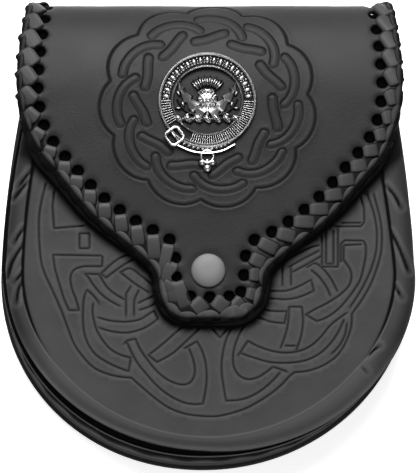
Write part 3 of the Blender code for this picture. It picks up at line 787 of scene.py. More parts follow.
def outline_point(outline, place):
    """A point on an outline: place runs from -1 at the mouth's left to 1 at its right."""
    side = math.copysign(1.0, place)
    share = abs(place)
    if share <= ROUND_SHARE:
        turn = 0.5 * math.pi * share / ROUND_SHARE
        power = 2.0 / (outline.left_round if side < 0 else outline.right_round)
        x = outline.half_width * math.sin(turn) ** power
        y = outline.widest_y - (outline.widest_y - outline.bottom_y) * math.cos(turn) ** power
    else:
        climb = (share - ROUND_SHARE) / (1.0 - ROUND_SHARE)
        taper = (outline.half_width - outline.top_half_width) * climb ** SIDE_TAPER[side > 0]
        x = outline.half_width - taper
        y = outline.widest_y + (outline.top_y - outline.widest_y) * climb
    return np.array([side * x + outline.aside + outline.lean * lean(y), y])


def outline_points(outline, places):
    return np.array([outline_point(outline, place) for place in places])


def body_stations(spacing):
    """Places round the body, evenly spaced along the flange."""
    fine = np.linspace(-1.0, 1.0, 1601)
    length = running_length(outline_points(FLANGE, fine))
    return np.interp(np.linspace(0.0, length[-1], int(length[-1] / spacing)), length, fine)


def leather_path():
    """The bent leather's middle line: distance along it, y, z, and the outward normal's y and z.

    The distance equals y on the flap's flat part, and grows over the fold and down the back.
    """
    half = FLAP_LEATHER / 2
    upper = (FOLD_REACH_Y - FLAP_BEND_Y - half, FLAP_TOP_Z - FOLD_Z - half)
    lower = (FOLD_REACH_Y - BACK_BEND_Y - half, FOLD_Z - back_face_z(BACK_BEND_Y) - half)
    rows = [(FLAP_OUTLINE[0].along - 10.0, FLAP_TOP_Z - half, 0.0, 1.0)]
    for start, turns, (reach, rise) in ((FLAP_BEND_Y, np.linspace(90.0, 0.0, 31), upper),
                                        (BACK_BEND_Y, np.linspace(0.0, -90.0, 25)[1:], lower)):
        for turn in np.radians(turns):
            normal = unit([math.cos(turn) / reach, math.sin(turn) / rise])
            rows.append((start + reach * math.cos(turn), FOLD_Z + rise * math.sin(turn), *normal))
    rows.append((BOTTOM_Y - 1.0, back_face_z(BOTTOM_Y - 1.0) + half, 0.0, -1.0))
    rows = np.array(rows)
    return np.column_stack([rows[0][0] + running_length(rows[:, :2]), rows])


PATH = leather_path()


def bend(x, along, away):
    """Carries points of the flat leather to their places: away is the height over the middle line."""
    y, z, normal_y, normal_z = read_off(along, PATH[:, 0], PATH[:, 1:]).T
    return np.column_stack([x, y + away * normal_y, z + away * normal_z])


def bend_direction(along, vector):
    """Carries directions (x, along, away) of the flat leather to their places."""
    normal_y, normal_z = unit(read_off(along, PATH[:, 0], PATH[:, 3:])).T
    x, forth, away = vector.T
    return np.column_stack([x, forth * normal_z + away * normal_y, away * normal_z - forth * normal_y])


def along_of_back(y):
    """Distance along the leather of a place on the back."""
    return np.interp(-np.asarray(y), -PATH[-2:, 1], PATH[-2:, 0])


def along_of_lacing_end():
    """Distance along the leather at which the lacing stops, behind the fold."""
    behind = PATH[PATH[:, 0] > PATH[0, 0] + FOLD_REACH_Y - FLAP_OUTLINE[0].along + 10.0]
    return float(np.interp(-LACING_END_Y, -behind[:, 1], behind[:, 0]))


def flap_edge(side):
    """One side of the flap's flat outline, from the tongue's tip to the start of the back."""
    rows = spline(FLAP_OUTLINE, 6)
    return np.column_stack([FLAP_X + side * rows[:, 0], rows[:, 1]])


def laced_edge():
    """The laced edge in one run: down the right side, round the tongue and up the left."""
    edge = np.vstack([flap_edge(1)[::-1], flap_edge(-1)[1:]])
    return edge[edge[:, 1] <= along_of_lacing_end()]


def lacing_holes():
    """Centres of the lacing holes on the flat leather, in one run from the right to the left."""
    line = spline(HOLE_LINE, 8)
    line = line[line[:, 1] <= along_of_lacing_end()]
    length = running_length(line)
    count = int((length[-1] - LEFT_CORNER_SLACK) / HOLE_PITCH)
    holes = []
    for k in range(-count, count + 1):
        slack = LEFT_CORNER_SLACK if k < 0 else RIGHT_CORNER_SLACK
        place = abs(k) * HOLE_PITCH + (slack if abs(k) > 1 else 0.0)
        half_width, along = read_off(place, length, line)
        drop = RIGHT_DROP * hill(half_width - RIGHT_DROP_AT, RIGHT_DROP_REACH) if k > 0 else 0.0
        along -= drop * ramp((half_width - TONGUE_HALF_WIDTH) / 2.0)
        holes.append((FLAP_X + math.copysign(half_width, k), along))
    return np.array(holes[::-1])


def flat_outline():
    """The whole piece of leather before it is bent: flap, fold and back."""
    down = outline_points(BACK, np.linspace(BACK_END, -BACK_END, 181))
    down[:, 1] = along_of_back(down[:, 1])
    return np.vstack([flap_edge(1), down, flap_edge(-1)[::-1][:-1]])


# === Flap and back ===

HOLE_RADIUS = 2.6
HOLE_SIDES = 20
RIM_ROUNDING = 0.45
RIM_WIDTH = 0.7
# Painted shade on the flap along its laced edge: how far in it reaches, and the distance along below which
# it is painted.
LACED_PAINTED_SHADE = 4.6
LACED_PAINTED_SHADE_ALONG = 52.0
HOLE_DIP, HOLE_DIP_WIDTH = 0.22, 1.1
SNAP_DIP, SNAP_DIP_WIDTH = 0.28, 1.0
EDGE_SPACING = 1.3
EDGE_RAILS = (0.32, 0.75)
FLAP_SPACING = 2.4
FLAP_CLEAR = 1.3

# The braided ring pressed into the flap: one lobe, repeated round the ring.
RING_X, RING_ALONG = 0.5, 55.5
RING_LOBES = 11
RING_START = 135.0
LOBE_EDGE = table("turn radius",
    (0.0, 43.6), (4.0, 45.4), (9.0, 46.9), (16.0, 47.6), (23.0, 46.9), (28.5, 45.4), (32.73, 43.6))
OUTER_ROD = table("turn radius",
    (6.0, 39.3), (12.0, 39.9), (20.0, 39.5), (27.5, 38.2), (34.0, 36.0), (39.0, 33.4))
INNER_ROD = table("turn radius",
    (25.0, 32.6), (12.0, 28.9), (1.0, 28.2))
OUTER_ROD_RADIUS = 1.75
INNER_ROD_RADIUS = 1.85
ROD_FLOOR = 0.40
ROD_WALL = 0.11
ROD_PUFF = 0.12
RING_GROOVE = 0.54
GROOVE_WIDTH = 0.38
RING_LIP = 0.12
RING_REACH = 52.0


def polar_line(rows, lobe):
    """A line of the ring in flat coordinates, for one of its lobes."""
    rows = spline(rows, 6)
    turns = np.radians(RING_START - lobe * 360.0 / RING_LOBES - rows[:, 0])
    return np.column_stack([RING_X + rows[:, 1] * np.cos(turns), RING_ALONG + rows[:, 1] * np.sin(turns)])


def capsule(line, radius, spacing):
    """Points round a line at a distance, past both of its ends."""
    line = at_spacing(line, spacing)
    normals = edge_normals(line)
    points = [line + radius * normals, line - radius * normals]
    for end, ahead in ((line[0], line[0] - line[1]), (line[-1], line[-1] - line[-2])):
        heading = math.atan2(ahead[1], ahead[0])
        turns = heading + np.linspace(-0.45, 0.45, 7) * math.pi
        points.append(end + radius * np.column_stack([np.cos(turns), np.sin(turns)]))
    return np.vstack(points)


class Ring:
    """The pressed ring: its lines, the points that carry them, and their relief."""

    def __init__(self):
        lobes = range(RING_LOBES)
        self.rods = [(polar_line(OUTER_ROD, lobe), OUTER_ROD_RADIUS) for lobe in lobes]
        self.rods += [(polar_line(INNER_ROD, lobe), INNER_ROD_RADIUS) for lobe in lobes]
        self.edges = [polar_line(LOBE_EDGE, lobe) for lobe in lobes]

    def rails(self):
        offsets = [0.0, *both_sides(0.3, 0.65, 1.15, 1.8)]
        points = [rails_beside(edge, offsets, 0.75) for edge in self.edges]
        for line, radius in self.rods:
            for offset in (0.0, -0.3, 0.3, -0.65, 0.65, 1.15):
                points.append(capsule(line, radius + offset, 0.75))
            points.append(at_spacing(line, 1.2))
        return np.vstack(points)

    def lines(self):
        return np.vstack([at_spacing(line, 0.5) for line in self.edges + [rod for rod, _ in self.rods]])

    def relief(self, points):
        """Height of the pressed ring at flat points, and the painted shade in its lines and on its sunk
        rods.
        """
        edge = distances(points, np.vstack([at_spacing(line, 0.1) for line in self.edges]))
        height = -RING_GROOVE * hill(edge, GROOVE_WIDTH) + RING_LIP * hill(edge - 1.2, 0.6)
        # Painted shade in the ring's lines and on its sunk rods' floors.
        tone = -0.5 * hill(edge, 0.4)
        for radius in (OUTER_ROD_RADIUS, INNER_ROD_RADIUS):
            lines = [at_spacing(line, 0.1) for line, own in self.rods if own == radius]
            far = distances(points, np.vstack(lines))
            sunk = 1.0 / (1.0 + np.exp(np.clip((far - radius) / ROD_WALL, -30.0, 30.0)))
            puff = ROD_PUFF * np.clip(1.0 - (far / radius) ** 2, 0.0, None)
            height += puff - ROD_FLOOR * sunk - 0.26 * hill(far - radius + 0.1, 0.32)
            height += RING_LIP * hill(far - radius - 0.9, 0.5)
            tone -= 0.5 * hill(far - radius, 0.35) + 0.10 * sunk
        return np.clip(height, -RING_GROOVE * 1.2, 0.3), tone


def rim_drop(distance):
    """How far a face falls away as it rounds over to a cut edge."""
    return -RIM_ROUNDING * np.clip(1.0 - np.asarray(distance) / RIM_WIDTH, 0.0, None) ** 2


def rivet_places():
    """Centres of the keeper rivets as (x, y)."""
    offset = KEEPER_FLAT / 2 + KEEPER_RAMP + KEEPER_TAB / 2
    return [(side * KEEPER_X, KEEPER_Y + end * offset) for side in (-1, 1) for end in (-1, 1)]


def build_flap_and_back():
    """One piece of leather: drawn flat, punched, pressed with the ring, and bent round the fold."""
    half = FLAP_LEATHER / 2
    outline = at_spacing(looped(flat_outline()), EDGE_SPACING)[:-1]
    centres = lacing_holes()
    holes = [circle(x, along, HOLE_RADIUS, HOLE_SIDES) for x, along in centres]
    holes.append(circle(SNAP_X, SNAP_Y, POST_RADIUS + GAP, 16))
    ring = Ring()
    rim = at_spacing(looped(outline), EDGE_SPACING)
    rails = [ring.rails(), rails_beside(rim, both_sides(*EDGE_RAILS), EDGE_SPACING)]
    rails += [circle(x, along, HOLE_RADIUS + offset, HOLE_SIDES) for x, along in centres
              for offset in EDGE_RAILS]
    rails += [circle(SNAP_X, SNAP_Y, SNAP_RADIUS + offset, 40) for offset in (0.2, 1.4)]
    flat, faces, _ = flat_mesh([outline, *holes], np.vstack(rails), ring.lines(), FLAP_SPACING, FLAP_CLEAR)
    borders = np.vstack([at_spacing(looped(loop), 0.3) for loop in [outline, *holes]])
    drop = rim_drop(distances(flat, borders))
    near = np.hypot(flat[:, 0] - RING_X, flat[:, 1] - RING_ALONG) < RING_REACH
    relief, tone = np.zeros(len(flat)), np.zeros(len(flat))
    relief[near], tone[near] = ring.relief(flat[near])
    punched = distances(flat, centres) - HOLE_RADIUS
    relief -= HOLE_DIP * hill(punched, HOLE_DIP_WIDTH)
    # Painted shade round the rims of the lacing holes.
    tone -= 0.7 * hill(punched, 0.35)
    # Painted shade on the flap along its laced edge.
    laced = ramp((LACED_PAINTED_SHADE - distances(flat, laced_edge())) / 1.4)
    tone -= 1.2 * laced * (flat[:, 1] < LACED_PAINTED_SHADE_ALONG)
    snap = np.hypot(flat[:, 0] - SNAP_X, flat[:, 1] - SNAP_Y)
    relief -= SNAP_DIP * hill(snap - SNAP_RADIUS, SNAP_DIP_WIDTH)
    outer = bend(*flat.T, half + relief + drop + undulation(flat) * 1.4)
    inner = bend(*flat.T, -half - drop)
    points, solid = closed_shell(outer, inner, faces)
    # The inner face: painted shade under the flap, and a painted highlight along the back's edge.
    under = -1.0 + 1.5 * hill(distances(flat, at_spacing(outline, 0.3)), 1.2)
    under[flat[:, 1] < along_of_lacing_end()] = -1.0
    piece = add_mesh("flap_and_back", points, solid, "flap_hide", relief=np.concatenate([tone, under]))
    finish(piece, "flap_leather", "back_and_flap")


# === Front panel ===

# Lines pressed into the front, on the chart: the border, and the bands of the knot inside it.
CURVES = table("name points",
    ("border_left", ((45.5, 184), (40, 209), (38.8, 230), (40.5, 257), (44, 272), (53.5, 293), (61, 310),
        (67, 326), (74, 344), (83, 357), (94, 368), (107, 374), (120, 377), (131.5, 378))),
    ("border_foot", ((131.5, 378), (137, 383), (146, 391), (157, 400), (169, 408), (183, 413.5), (198, 416),
        (216, 416.5), (231, 413.5), (246, 408.5), (260, 401), (272, 393), (282, 384.5), (289, 377),
        (294.5, 372.5))),
    ("border_right", ((294.5, 372.5), (306, 371.5), (318, 368), (328, 363), (337, 356), (344, 346),
        (349, 335), (351.5, 325), (352, 315))),
    ("border_high", ((352, 314), (362, 300), (371, 284), (377, 268), (381, 253), (382, 237), (381, 224),
        (378.5, 212), (374, 195))),
    ("border_inner", ((351, 306), (359, 294), (366, 281), (372, 267), (376, 252), (377, 236), (376, 224),
        (373.5, 212), (368, 196))),
    ("border_echo", ((347, 324), (345, 335), (340, 345), (333, 353))),
    ("left_band_under", ((84, 266.5), (75, 269.5), (70.5, 277), (72, 289), (76, 300), (79, 310.5))),
    ("left_band_outer", ((69, 310.5), (64, 299), (59, 283), (55, 269), (53, 255))),
    ("left_rise_upper", ((101, 274), (111, 264.5), (121, 257.5), (132, 253))),
    ("left_rise_lower", ((106, 278), (116, 270.5), (126, 263.5), (136, 258))),
    ("left_fall_upper", ((99, 274.5), (106, 286), (114, 293.5), (124, 299.5))),
    ("left_fall_lower", ((88, 277), (94, 286), (101, 294), (109, 300.5), (119, 306))),
    ("left_bow_outer", ((87, 290), (84, 298), (83, 310), (83, 322), (84.5, 334), (89, 346), (97, 356),
        (109, 363.5), (119, 368), (128.5, 371.5))),
    ("left_bow_inner", ((93, 304), (92.5, 312), (94, 321), (97, 331), (103, 341), (110, 349), (119, 354.5),
        (130.5, 358))),
    ("left_bow_tuck", ((87, 290), (93, 295.5), (98, 301.5))),
    ("left_wave_upper", ((99, 318), (111, 321), (126, 322), (139, 320), (147, 315.5), (154, 311))),
    ("left_wave_lower", ((99, 328), (111, 331.5), (126, 333), (140, 330), (150, 325), (158, 319))),
    ("left_arch_upper", ((120, 272.5), (130, 268.5), (140, 275), (154, 286.5))),
    ("left_arch_lower", ((124, 275.5), (135, 284), (147, 291.5))),
    ("left_leaf_upper", ((139, 303), (147, 299), (154, 296))),
    ("left_leaf_lower", ((140, 310), (149, 307), (155.5, 303))),
    ("left_leaf_stem", ((139, 290.5), (134.5, 300), (134, 314))),
    ("middle_slant_upper", ((181, 328), (172, 336), (163, 344), (148.5, 355.5))),
    ("middle_slant_lower", ((198, 330), (184, 343.5), (172, 354), (157, 362.5))),
    ("middle_loop_inner", ((135.5, 339), (140, 349), (147, 359.5), (156, 370.5), (166, 379), (177, 384),
        (186.5, 384.5), (192.5, 380), (195, 371), (193, 359), (189, 349))),
    ("middle_loop_right", ((197, 341.5), (202.5, 352), (206, 366), (206.5, 383), (203, 404))),
    ("middle_loop_outer", ((127, 343), (132, 353.5), (138, 364), (147, 375), (157, 386), (169, 395.5),
        (183, 402.5), (194, 404.5), (203, 404))),
    ("right_drop_left", ((236, 321), (230, 331), (225.5, 342), (222.5, 355), (221.5, 370), (223.5, 386),
        (226, 401))),
    ("right_drop_foot", ((226, 401), (240, 400), (251, 396.5), (262, 390), (272, 381.5), (280, 373))),
    ("right_drop_inner", ((247, 321), (240.5, 332), (235.5, 344), (233, 356), (234, 367), (239, 375.5),
        (248, 379.5), (258, 377.5), (266, 372.5), (273, 367))),
    ("right_hook_outer", ((366, 246), (365.5, 258), (361, 278), (355, 289), (346, 301), (337, 310.5),
        (327, 317.5), (317, 321.5))),
    ("right_hook_inner", ((343.5, 260), (350, 269.5), (351.5, 278), (348.5, 286.5), (340, 295),
        (327, 303.5), (315, 309.5), (306, 315))),
    ("right_shed_first", ((284, 261), (300, 252.5), (312, 247), (319, 245.5))),
    ("right_shed_second", ((289, 267), (305, 258), (319, 251))),
    ("right_shed_third", ((293, 272), (309, 263.5), (321, 256.5))),
    ("right_peak_outer", ((307, 267.5), (315, 263.5), (323, 269), (331, 279), (337, 290.5))),
    ("right_peak_inner", ((311.5, 270.5), (319, 277), (326, 286.5), (330, 295))),
    ("right_tail_upper", ((271, 291), (286, 291), (299, 286.5), (311, 280))),
    ("right_tail_lower", ((271, 298.5), (286, 299.5), (300, 297), (314, 291))),
    ("right_step_upper", ((258, 307), (271, 311), (287, 311.5))),
    ("right_step_lower", ((257, 316.5), (271, 322), (284.5, 323.5))),
    ("right_post_left", ((289, 307), (288.5, 320), (286, 333), (281, 347.5))),
    ("right_post_right", ((302, 307), (303, 322), (301, 337), (296.5, 349.5))),
    ("right_smile_upper", ((248, 341), (257, 346), (271, 351), (286, 353), (300, 351), (311, 346),
        (321, 337), (331, 325), (346, 313.5))),
    ("right_smile_lower", ((241, 353.5), (254, 358), (271, 362.5), (289, 363), (306, 360.5), (320, 353.5),
        (331, 343), (339, 331), (344, 320))))
CORNERS = table("name points",
    ("left_corner", ((54, 192), (52.5, 206), (54, 228.5), (83, 226))),
    ("left_box", ((79.5, 233.5), (89.5, 233.5), (89.5, 248.5), (79.5, 248.5), (79.5, 233.5))),
    ("left_band_top", ((53, 255), (102.5, 256), (102, 266.5), (84, 266.5))),
    ("left_band_foot", ((79, 310.5), (69, 310.5))),
    ("left_rise_end", ((101, 274), (106, 278))),
    ("left_fall_end", ((88, 277), (84.5, 274), (99, 274.5))),
    ("left_bow_end", ((128.5, 371.5), (131, 358))),
    ("left_wave_end", ((154, 311), (158, 319))),
    ("left_arch_end", ((120, 272.5), (124, 275.5))),
    ("left_arch_foot", ((131, 286.5), (126, 294), (126, 314))),
    ("middle_slant_end", ((148.5, 355.5), (157, 362.5))),
    ("middle_loop_start", ((124.5, 343.5), (127, 341), (135.5, 339))),
    ("middle_loop_end", ((185, 348.5), (197, 341.5))),
    ("middle_notch", ((211, 327), (220, 338), (228, 328))),
    ("right_corner_outer", ((337, 226.5), (361, 226.5), (364.5, 222), (364, 208), (360.5, 196))),
    ("right_corner_inner", ((342, 223), (360.5, 223))),
    ("right_box_inner", ((326, 231), (326, 264), (333.5, 264), (333.5, 231))),
    ("right_box_outer", ((322, 236), (322, 267), (338, 267), (338, 229))),
    ("right_hook_top", ((341, 262), (341, 244), (345, 240.5), (363.5, 241), (366, 246))),
    ("right_hook_echo", ((343.5, 260), (344, 245.5), (361, 244.5))),
    ("right_bar_left", ((282.5, 266), (282.5, 284))),
    ("right_bar_right", ((291, 268), (291, 284))),
    ("right_tail_end", ((311, 280), (314, 291))),
    ("right_step_end", ((287, 311.5), (284.5, 323.5))),
    ("right_post_top", ((289, 307), (302, 307))),
    ("right_post_foot", ((285.5, 346), (295, 346))),
    ("right_smile_end", ((248, 341), (239, 354.5))),
    ("right_drop_end", ((273, 367), (286, 371.5))),
    ("right_hook_end", ((306, 315), (317, 321.5))))

# Creases where the moulded side has folded, on the chart.
WRINKLES = table("name points",
    ("left_first", ((30, 171), (24.5, 178), (19, 186))),
    ("left_second", ((27, 182), (20.5, 190), (14, 199))),
    ("left_third", ((23.5, 228), (18.5, 235), (14.5, 243))),
    ("left_fourth", ((22.5, 245), (16.5, 254), (11.5, 264), (8, 277))),
    ("left_fifth", ((22.5, 272), (18, 277.5), (14.5, 282))),
    ("left_sixth", ((21.5, 282), (18, 290), (16.5, 303))),
    ("right_first", ((387, 186), (395, 196), (401, 208))),
    ("right_second", ((391, 232), (397.5, 244), (403, 257), (408.5, 272))),
    ("right_third", ((396, 287), (402, 298))),
    ("right_fourth", ((367, 357), (374, 350), (380, 346))),
    ("right_fifth", ((362, 367), (367, 373))))
RIM_START_Y = -20.0
# Painted shadow of the flap's laced edge on the front: where it starts beyond the braid's dark strip, the
# distances from the tongue's tip at which its reach is given, those reaches, and its strength.
SHADE_START = 2.2
SHADE_PLACES = (30.0, 90.0)
SHADE_REACH = (3.6, 5.2)
SHADE_TONE = 1.3
WRINKLE_DEPTH = 0.75
WRINKLE_WIDTH = 1.15

CREASE_DEPTH = 1.15
CREASE_WIDTH = 0.52
CREASE_RIDGE = 0.15
CREASE_RIDGE_WIDTH = 0.5
GROOVE_END_Y = -32.0
GROOVE_FADE = 30.0
RIDGE_START_Y = -28.0
RIDGE_FADE = 16.0
RIDGE_ASIDE = 0.95
# Painted highlight on the crease's ridge and painted shade in its groove.
RIDGE_TONE = 1.05
GROOVE_TONE = 2.2
LINE_DEPTH = 0.46
LINE_WIDTH = 0.37
LINE_LIP = 0.15
LIP_ASIDE, LIP_WIDTH = 0.95, 0.42
# Painted shade in pressed lines and wrinkles, with a painted highlight on their lips and swells.
LINE_TONE = 1.6
WRINKLE_TONE = 2.4
PANEL_SPACING = 2.0

# The side wall's section: how far out, as a share of the bulge, and how high between widest and field.
WALL = table("out up",
    (0.03, 0.997), (0.07, 0.995), (0.11, 0.992), (0.16, 0.987), (0.28, 0.965), (0.44, 0.915), (0.60, 0.835),
    (0.74, 0.72), (0.86, 0.55), (0.94, 0.32), (0.975, 0.05), (0.97, -0.22))
# Painted light on the side wall: a painted highlight on the shoulder along the bottom, painted shade at the
# root and over the sides, and a painted highlight along the flange's rim.
SHOULDER_Z, SHOULDER_TONE = 30.0, 0.36
ROOT_Z, ROOT_TONE = 29.0, -1.1
SIDE_TONE = -0.8
LOW_WALL_Y, LOW_WALL_FADE = -44.0, 20.0
RIM_FADE = 8.0
RIM_TONE = 0.9
FLANGE_WIDTH = 1.5
FLANGE_ROUNDING = 0.3
FLANGE_GROOVE = 0.5
SECTION_STEPS = 2

WALL_FOLDS = table("side y slant width depth",
    (-1, 29.0, 9.0, 5.0, 0.9), (-1, 2.0, 12.0, 6.0, 1.0), (-1, -18.0, 10.0, 6.0, 0.8),
    (1, 22.0, 12.0, 6.0, 1.1), (1, 1.0, 16.0, 6.0, 0.8), (1, -55.0, 4.0, 6.0, 0.7))


def front_lines():
    """The lines of the front as flat polylines at the height of the field."""
    curves = [spline(from_chart(stroke.points, FIELD_Z), 6) for stroke in CURVES]
    return curves + [from_chart(stroke.points, FIELD_Z) for stroke in CORNERS]


def pressed_line(distance):
    """Relief of a line pressed into leather: a valley with a soft lip on each side."""
    return -LINE_DEPTH * hill(distance, LINE_WIDTH) + LINE_LIP * hill(distance - LIP_ASIDE, LIP_WIDTH)


def crease_groove(y):
    """How much of a groove the crease is: full at the sides, gone along the bottom."""
    return 1.0 - ramp((GROOVE_END_Y - y) / GROOVE_FADE)


def crease_ridge(y):
    """How much of a fine ridge runs beside the crease: none at the sides, full along the bottom."""
    return ramp((RIDGE_START_Y - y) / RIDGE_FADE)


def crease_height(y, out):
    """Relief at a distance out from the crease: a groove, and a ridge just outside it."""
    groove = crease_groove(y)
    return (-CREASE_DEPTH * groove * hill(out, CREASE_WIDTH)
            + CREASE_RIDGE * crease_ridge(y) * hill(out - RIDGE_ASIDE * groove, CREASE_RIDGE_WIDTH))


def crease_painted_light(y, out):
    """Painted shade in the groove and a painted highlight on the ridge."""
    groove = crease_groove(y)
    return (RIDGE_TONE * crease_ridge(y) * hill(out - RIDGE_ASIDE * groove, 0.4)
            - GROOVE_TONE * groove * hill(out, 0.6))


def fold_depth(side, y, out):
    """How far the side wall is pressed in at a place between crease (0) and flange (1)."""
    depth = 0.0
    for fold in WALL_FOLDS:
        if fold.side == side:
            distance = (y - fold.y + fold.slant * out) / fold.width
            depth += fold.depth * math.exp(-distance * distance)
    return depth * math.sin(math.pi * ramp(out))


Station = namedtuple("Station", "side crease away bulge reach")


def station_at(place):
    """One place round the body: its crease, the way out from it, and how far its bulge and flange are."""
    crease, bulge, flange = (outline_point(outline, place) for outline in (CREASE, BULGE, FLANGE))
    return Station(math.copysign(1.0, place), crease, unit(flange - crease),
                   np.linalg.norm(bulge - crease), np.linalg.norm(flange - crease))


def wall_section(station):
    """Outer line of the side wall and flange at one station, as (distance out, height)."""
    y, bulge, reach = station.crease[1], station.bulge, station.reach
    rows = [(0.0, FIELD_Z + float(crease_height(y, 0.0)))]
    for row in WALL:
        height = WIDEST_Z + row.up * (FIELD_Z - WIDEST_Z) + float(crease_height(y, row.out * bulge))
        rows.append((row.out * bulge - fold_depth(station.side, y, row.out), height))
    root = min(bulge, reach) - FLANGE_WIDTH * 0.4
    rows += [(root - 0.15, 0.4 * WIDEST_Z + 0.6 * FLANGE_Z), (root - 0.35, FLANGE_Z + 0.5),
             (max(root - 0.2, reach - FLANGE_WIDTH), FLANGE_Z - FLANGE_GROOVE),
             (reach - 0.85, FLANGE_Z - FLANGE_GROOVE), (reach - 0.6, FLANGE_Z - 0.1),
             (reach - FLANGE_ROUNDING, FLANGE_Z + 0.1)]
    rows = list(spline(rows, SECTION_STEPS))
    rows += [(reach - FLANGE_ROUNDING * 0.3, FLANGE_Z - 0.1), (reach, FLANGE_Z - FLANGE_ROUNDING)]
    return np.array(rows)


def wall_painted_light(station, section):
    """Painted light on the wall at each point of a section: painted shade, darkest at its root, and a
    painted highlight on the flange's rim.

    At the sides the painted shade spreads over its whole width, and along the bottom the wall is painted
    lighter above the shoulder and darker only below it.
    """
    y = station.crease[1]
    low = ramp((LOW_WALL_Y - y) / LOW_WALL_FADE)
    out, height = section.T
    side_shade = SIDE_TONE * ramp((out / station.bulge - 0.3) / 0.65)
    low_shade = SHOULDER_TONE * ramp((height - SHOULDER_Z) / 2.0)
    root = ROOT_TONE * ramp((ROOT_Z - height) / 2.0)
    shade = (1.0 - low) * side_shade + low * low_shade + root + crease_painted_light(y, out)
    lit = ramp((RIM_START_Y - y) / RIM_FADE)
    rim = lit * hill(out - out[-1] + 0.25, 0.3) * (height < FLANGE_Z + 0.3)
    return shade * (1.0 - rim) + RIM_TONE * rim


def inner_section(outer):
    """The wall's inner line, a leather's thickness in, and level under field and flange."""
    inner = outer + PANEL_LEATHER * edge_normals(outer)
    inner[:, 0] = np.maximum.accumulate(np.minimum(inner[:, 0], outer[:, 0]))
    inner[0] = (outer[0][0], FIELD_Z - PANEL_LEATHER)
    low = FLANGE_Z - PANEL_LEATHER
    inner[:, 1] = np.clip(inner[:, 1], low, FIELD_Z - PANEL_LEATHER)
    inner[-4:, 0] = outer[-4:, 0]
    inner[-4:, 1] = low
    return inner


def place_section(station, section):
    """Puts (out, height) points of one station in space, on the line from crease to flange."""
    return np.column_stack([station.crease + np.outer(section[:, 0], station.away), section[:, 1]])


def press_wrinkles(points, normals):
    """Pushes wall points in along their normals where a wrinkle of the chart crosses them."""
    seen = to_chart(points)
    samples = np.vstack([at_spacing(spline(stroke.points, 6), 0.3) for stroke in WRINKLES])
    near = distances(seen, samples)
    ends = np.vstack([[stroke.points[0], stroke.points[-1]] for stroke in WRINKLES])
    fade = np.clip(distances(seen, ends) / 5.0, 0.25, 1.0)
    depth = WRINKLE_DEPTH * hill(near, WRINKLE_WIDTH) * fade
    swell = 0.22 * hill(near - 4.0, 2.0) * fade
    moved = points + normals * (swell - depth)[:, None]
    return moved, swell - depth


def painted_flap_shadow(points):
    """Painted shadow: how much darker the front is painted beside the flap's laced edge, where the flap
    casts its shadow.
    """
    edge = laced_edge()
    place = running_length(edge)
    from_tip = place - place[int(np.argmin(edge[:, 1]))]
    line = bend(*edge.T, np.zeros(len(edge)))[:, :2]
    numbers = np.arange(len(place))
    fine = np.interp(np.linspace(0.0, place[-1], int(place[-1] / 0.8)), place, numbers)
    rows = read_off(fine, numbers, np.column_stack([line, lay_at(from_tip).core, from_tip]))
    line, start = rows[:, :2], rows[:, 2] + SHADE_START
    reach = np.interp(np.abs(rows[:, 3]), SHADE_PLACES, SHADE_REACH)
    shade = np.zeros(len(points))
    for at in range(0, len(line), 40):
        part = slice(at, at + 40)
        far = np.linalg.norm(points[:, None, :2] - line[None, part], axis=2)
        shade = np.maximum(shade, ramp(1.0 - (far - start[part]) / reach[part]).max(axis=1))
    return -SHADE_TONE * shade


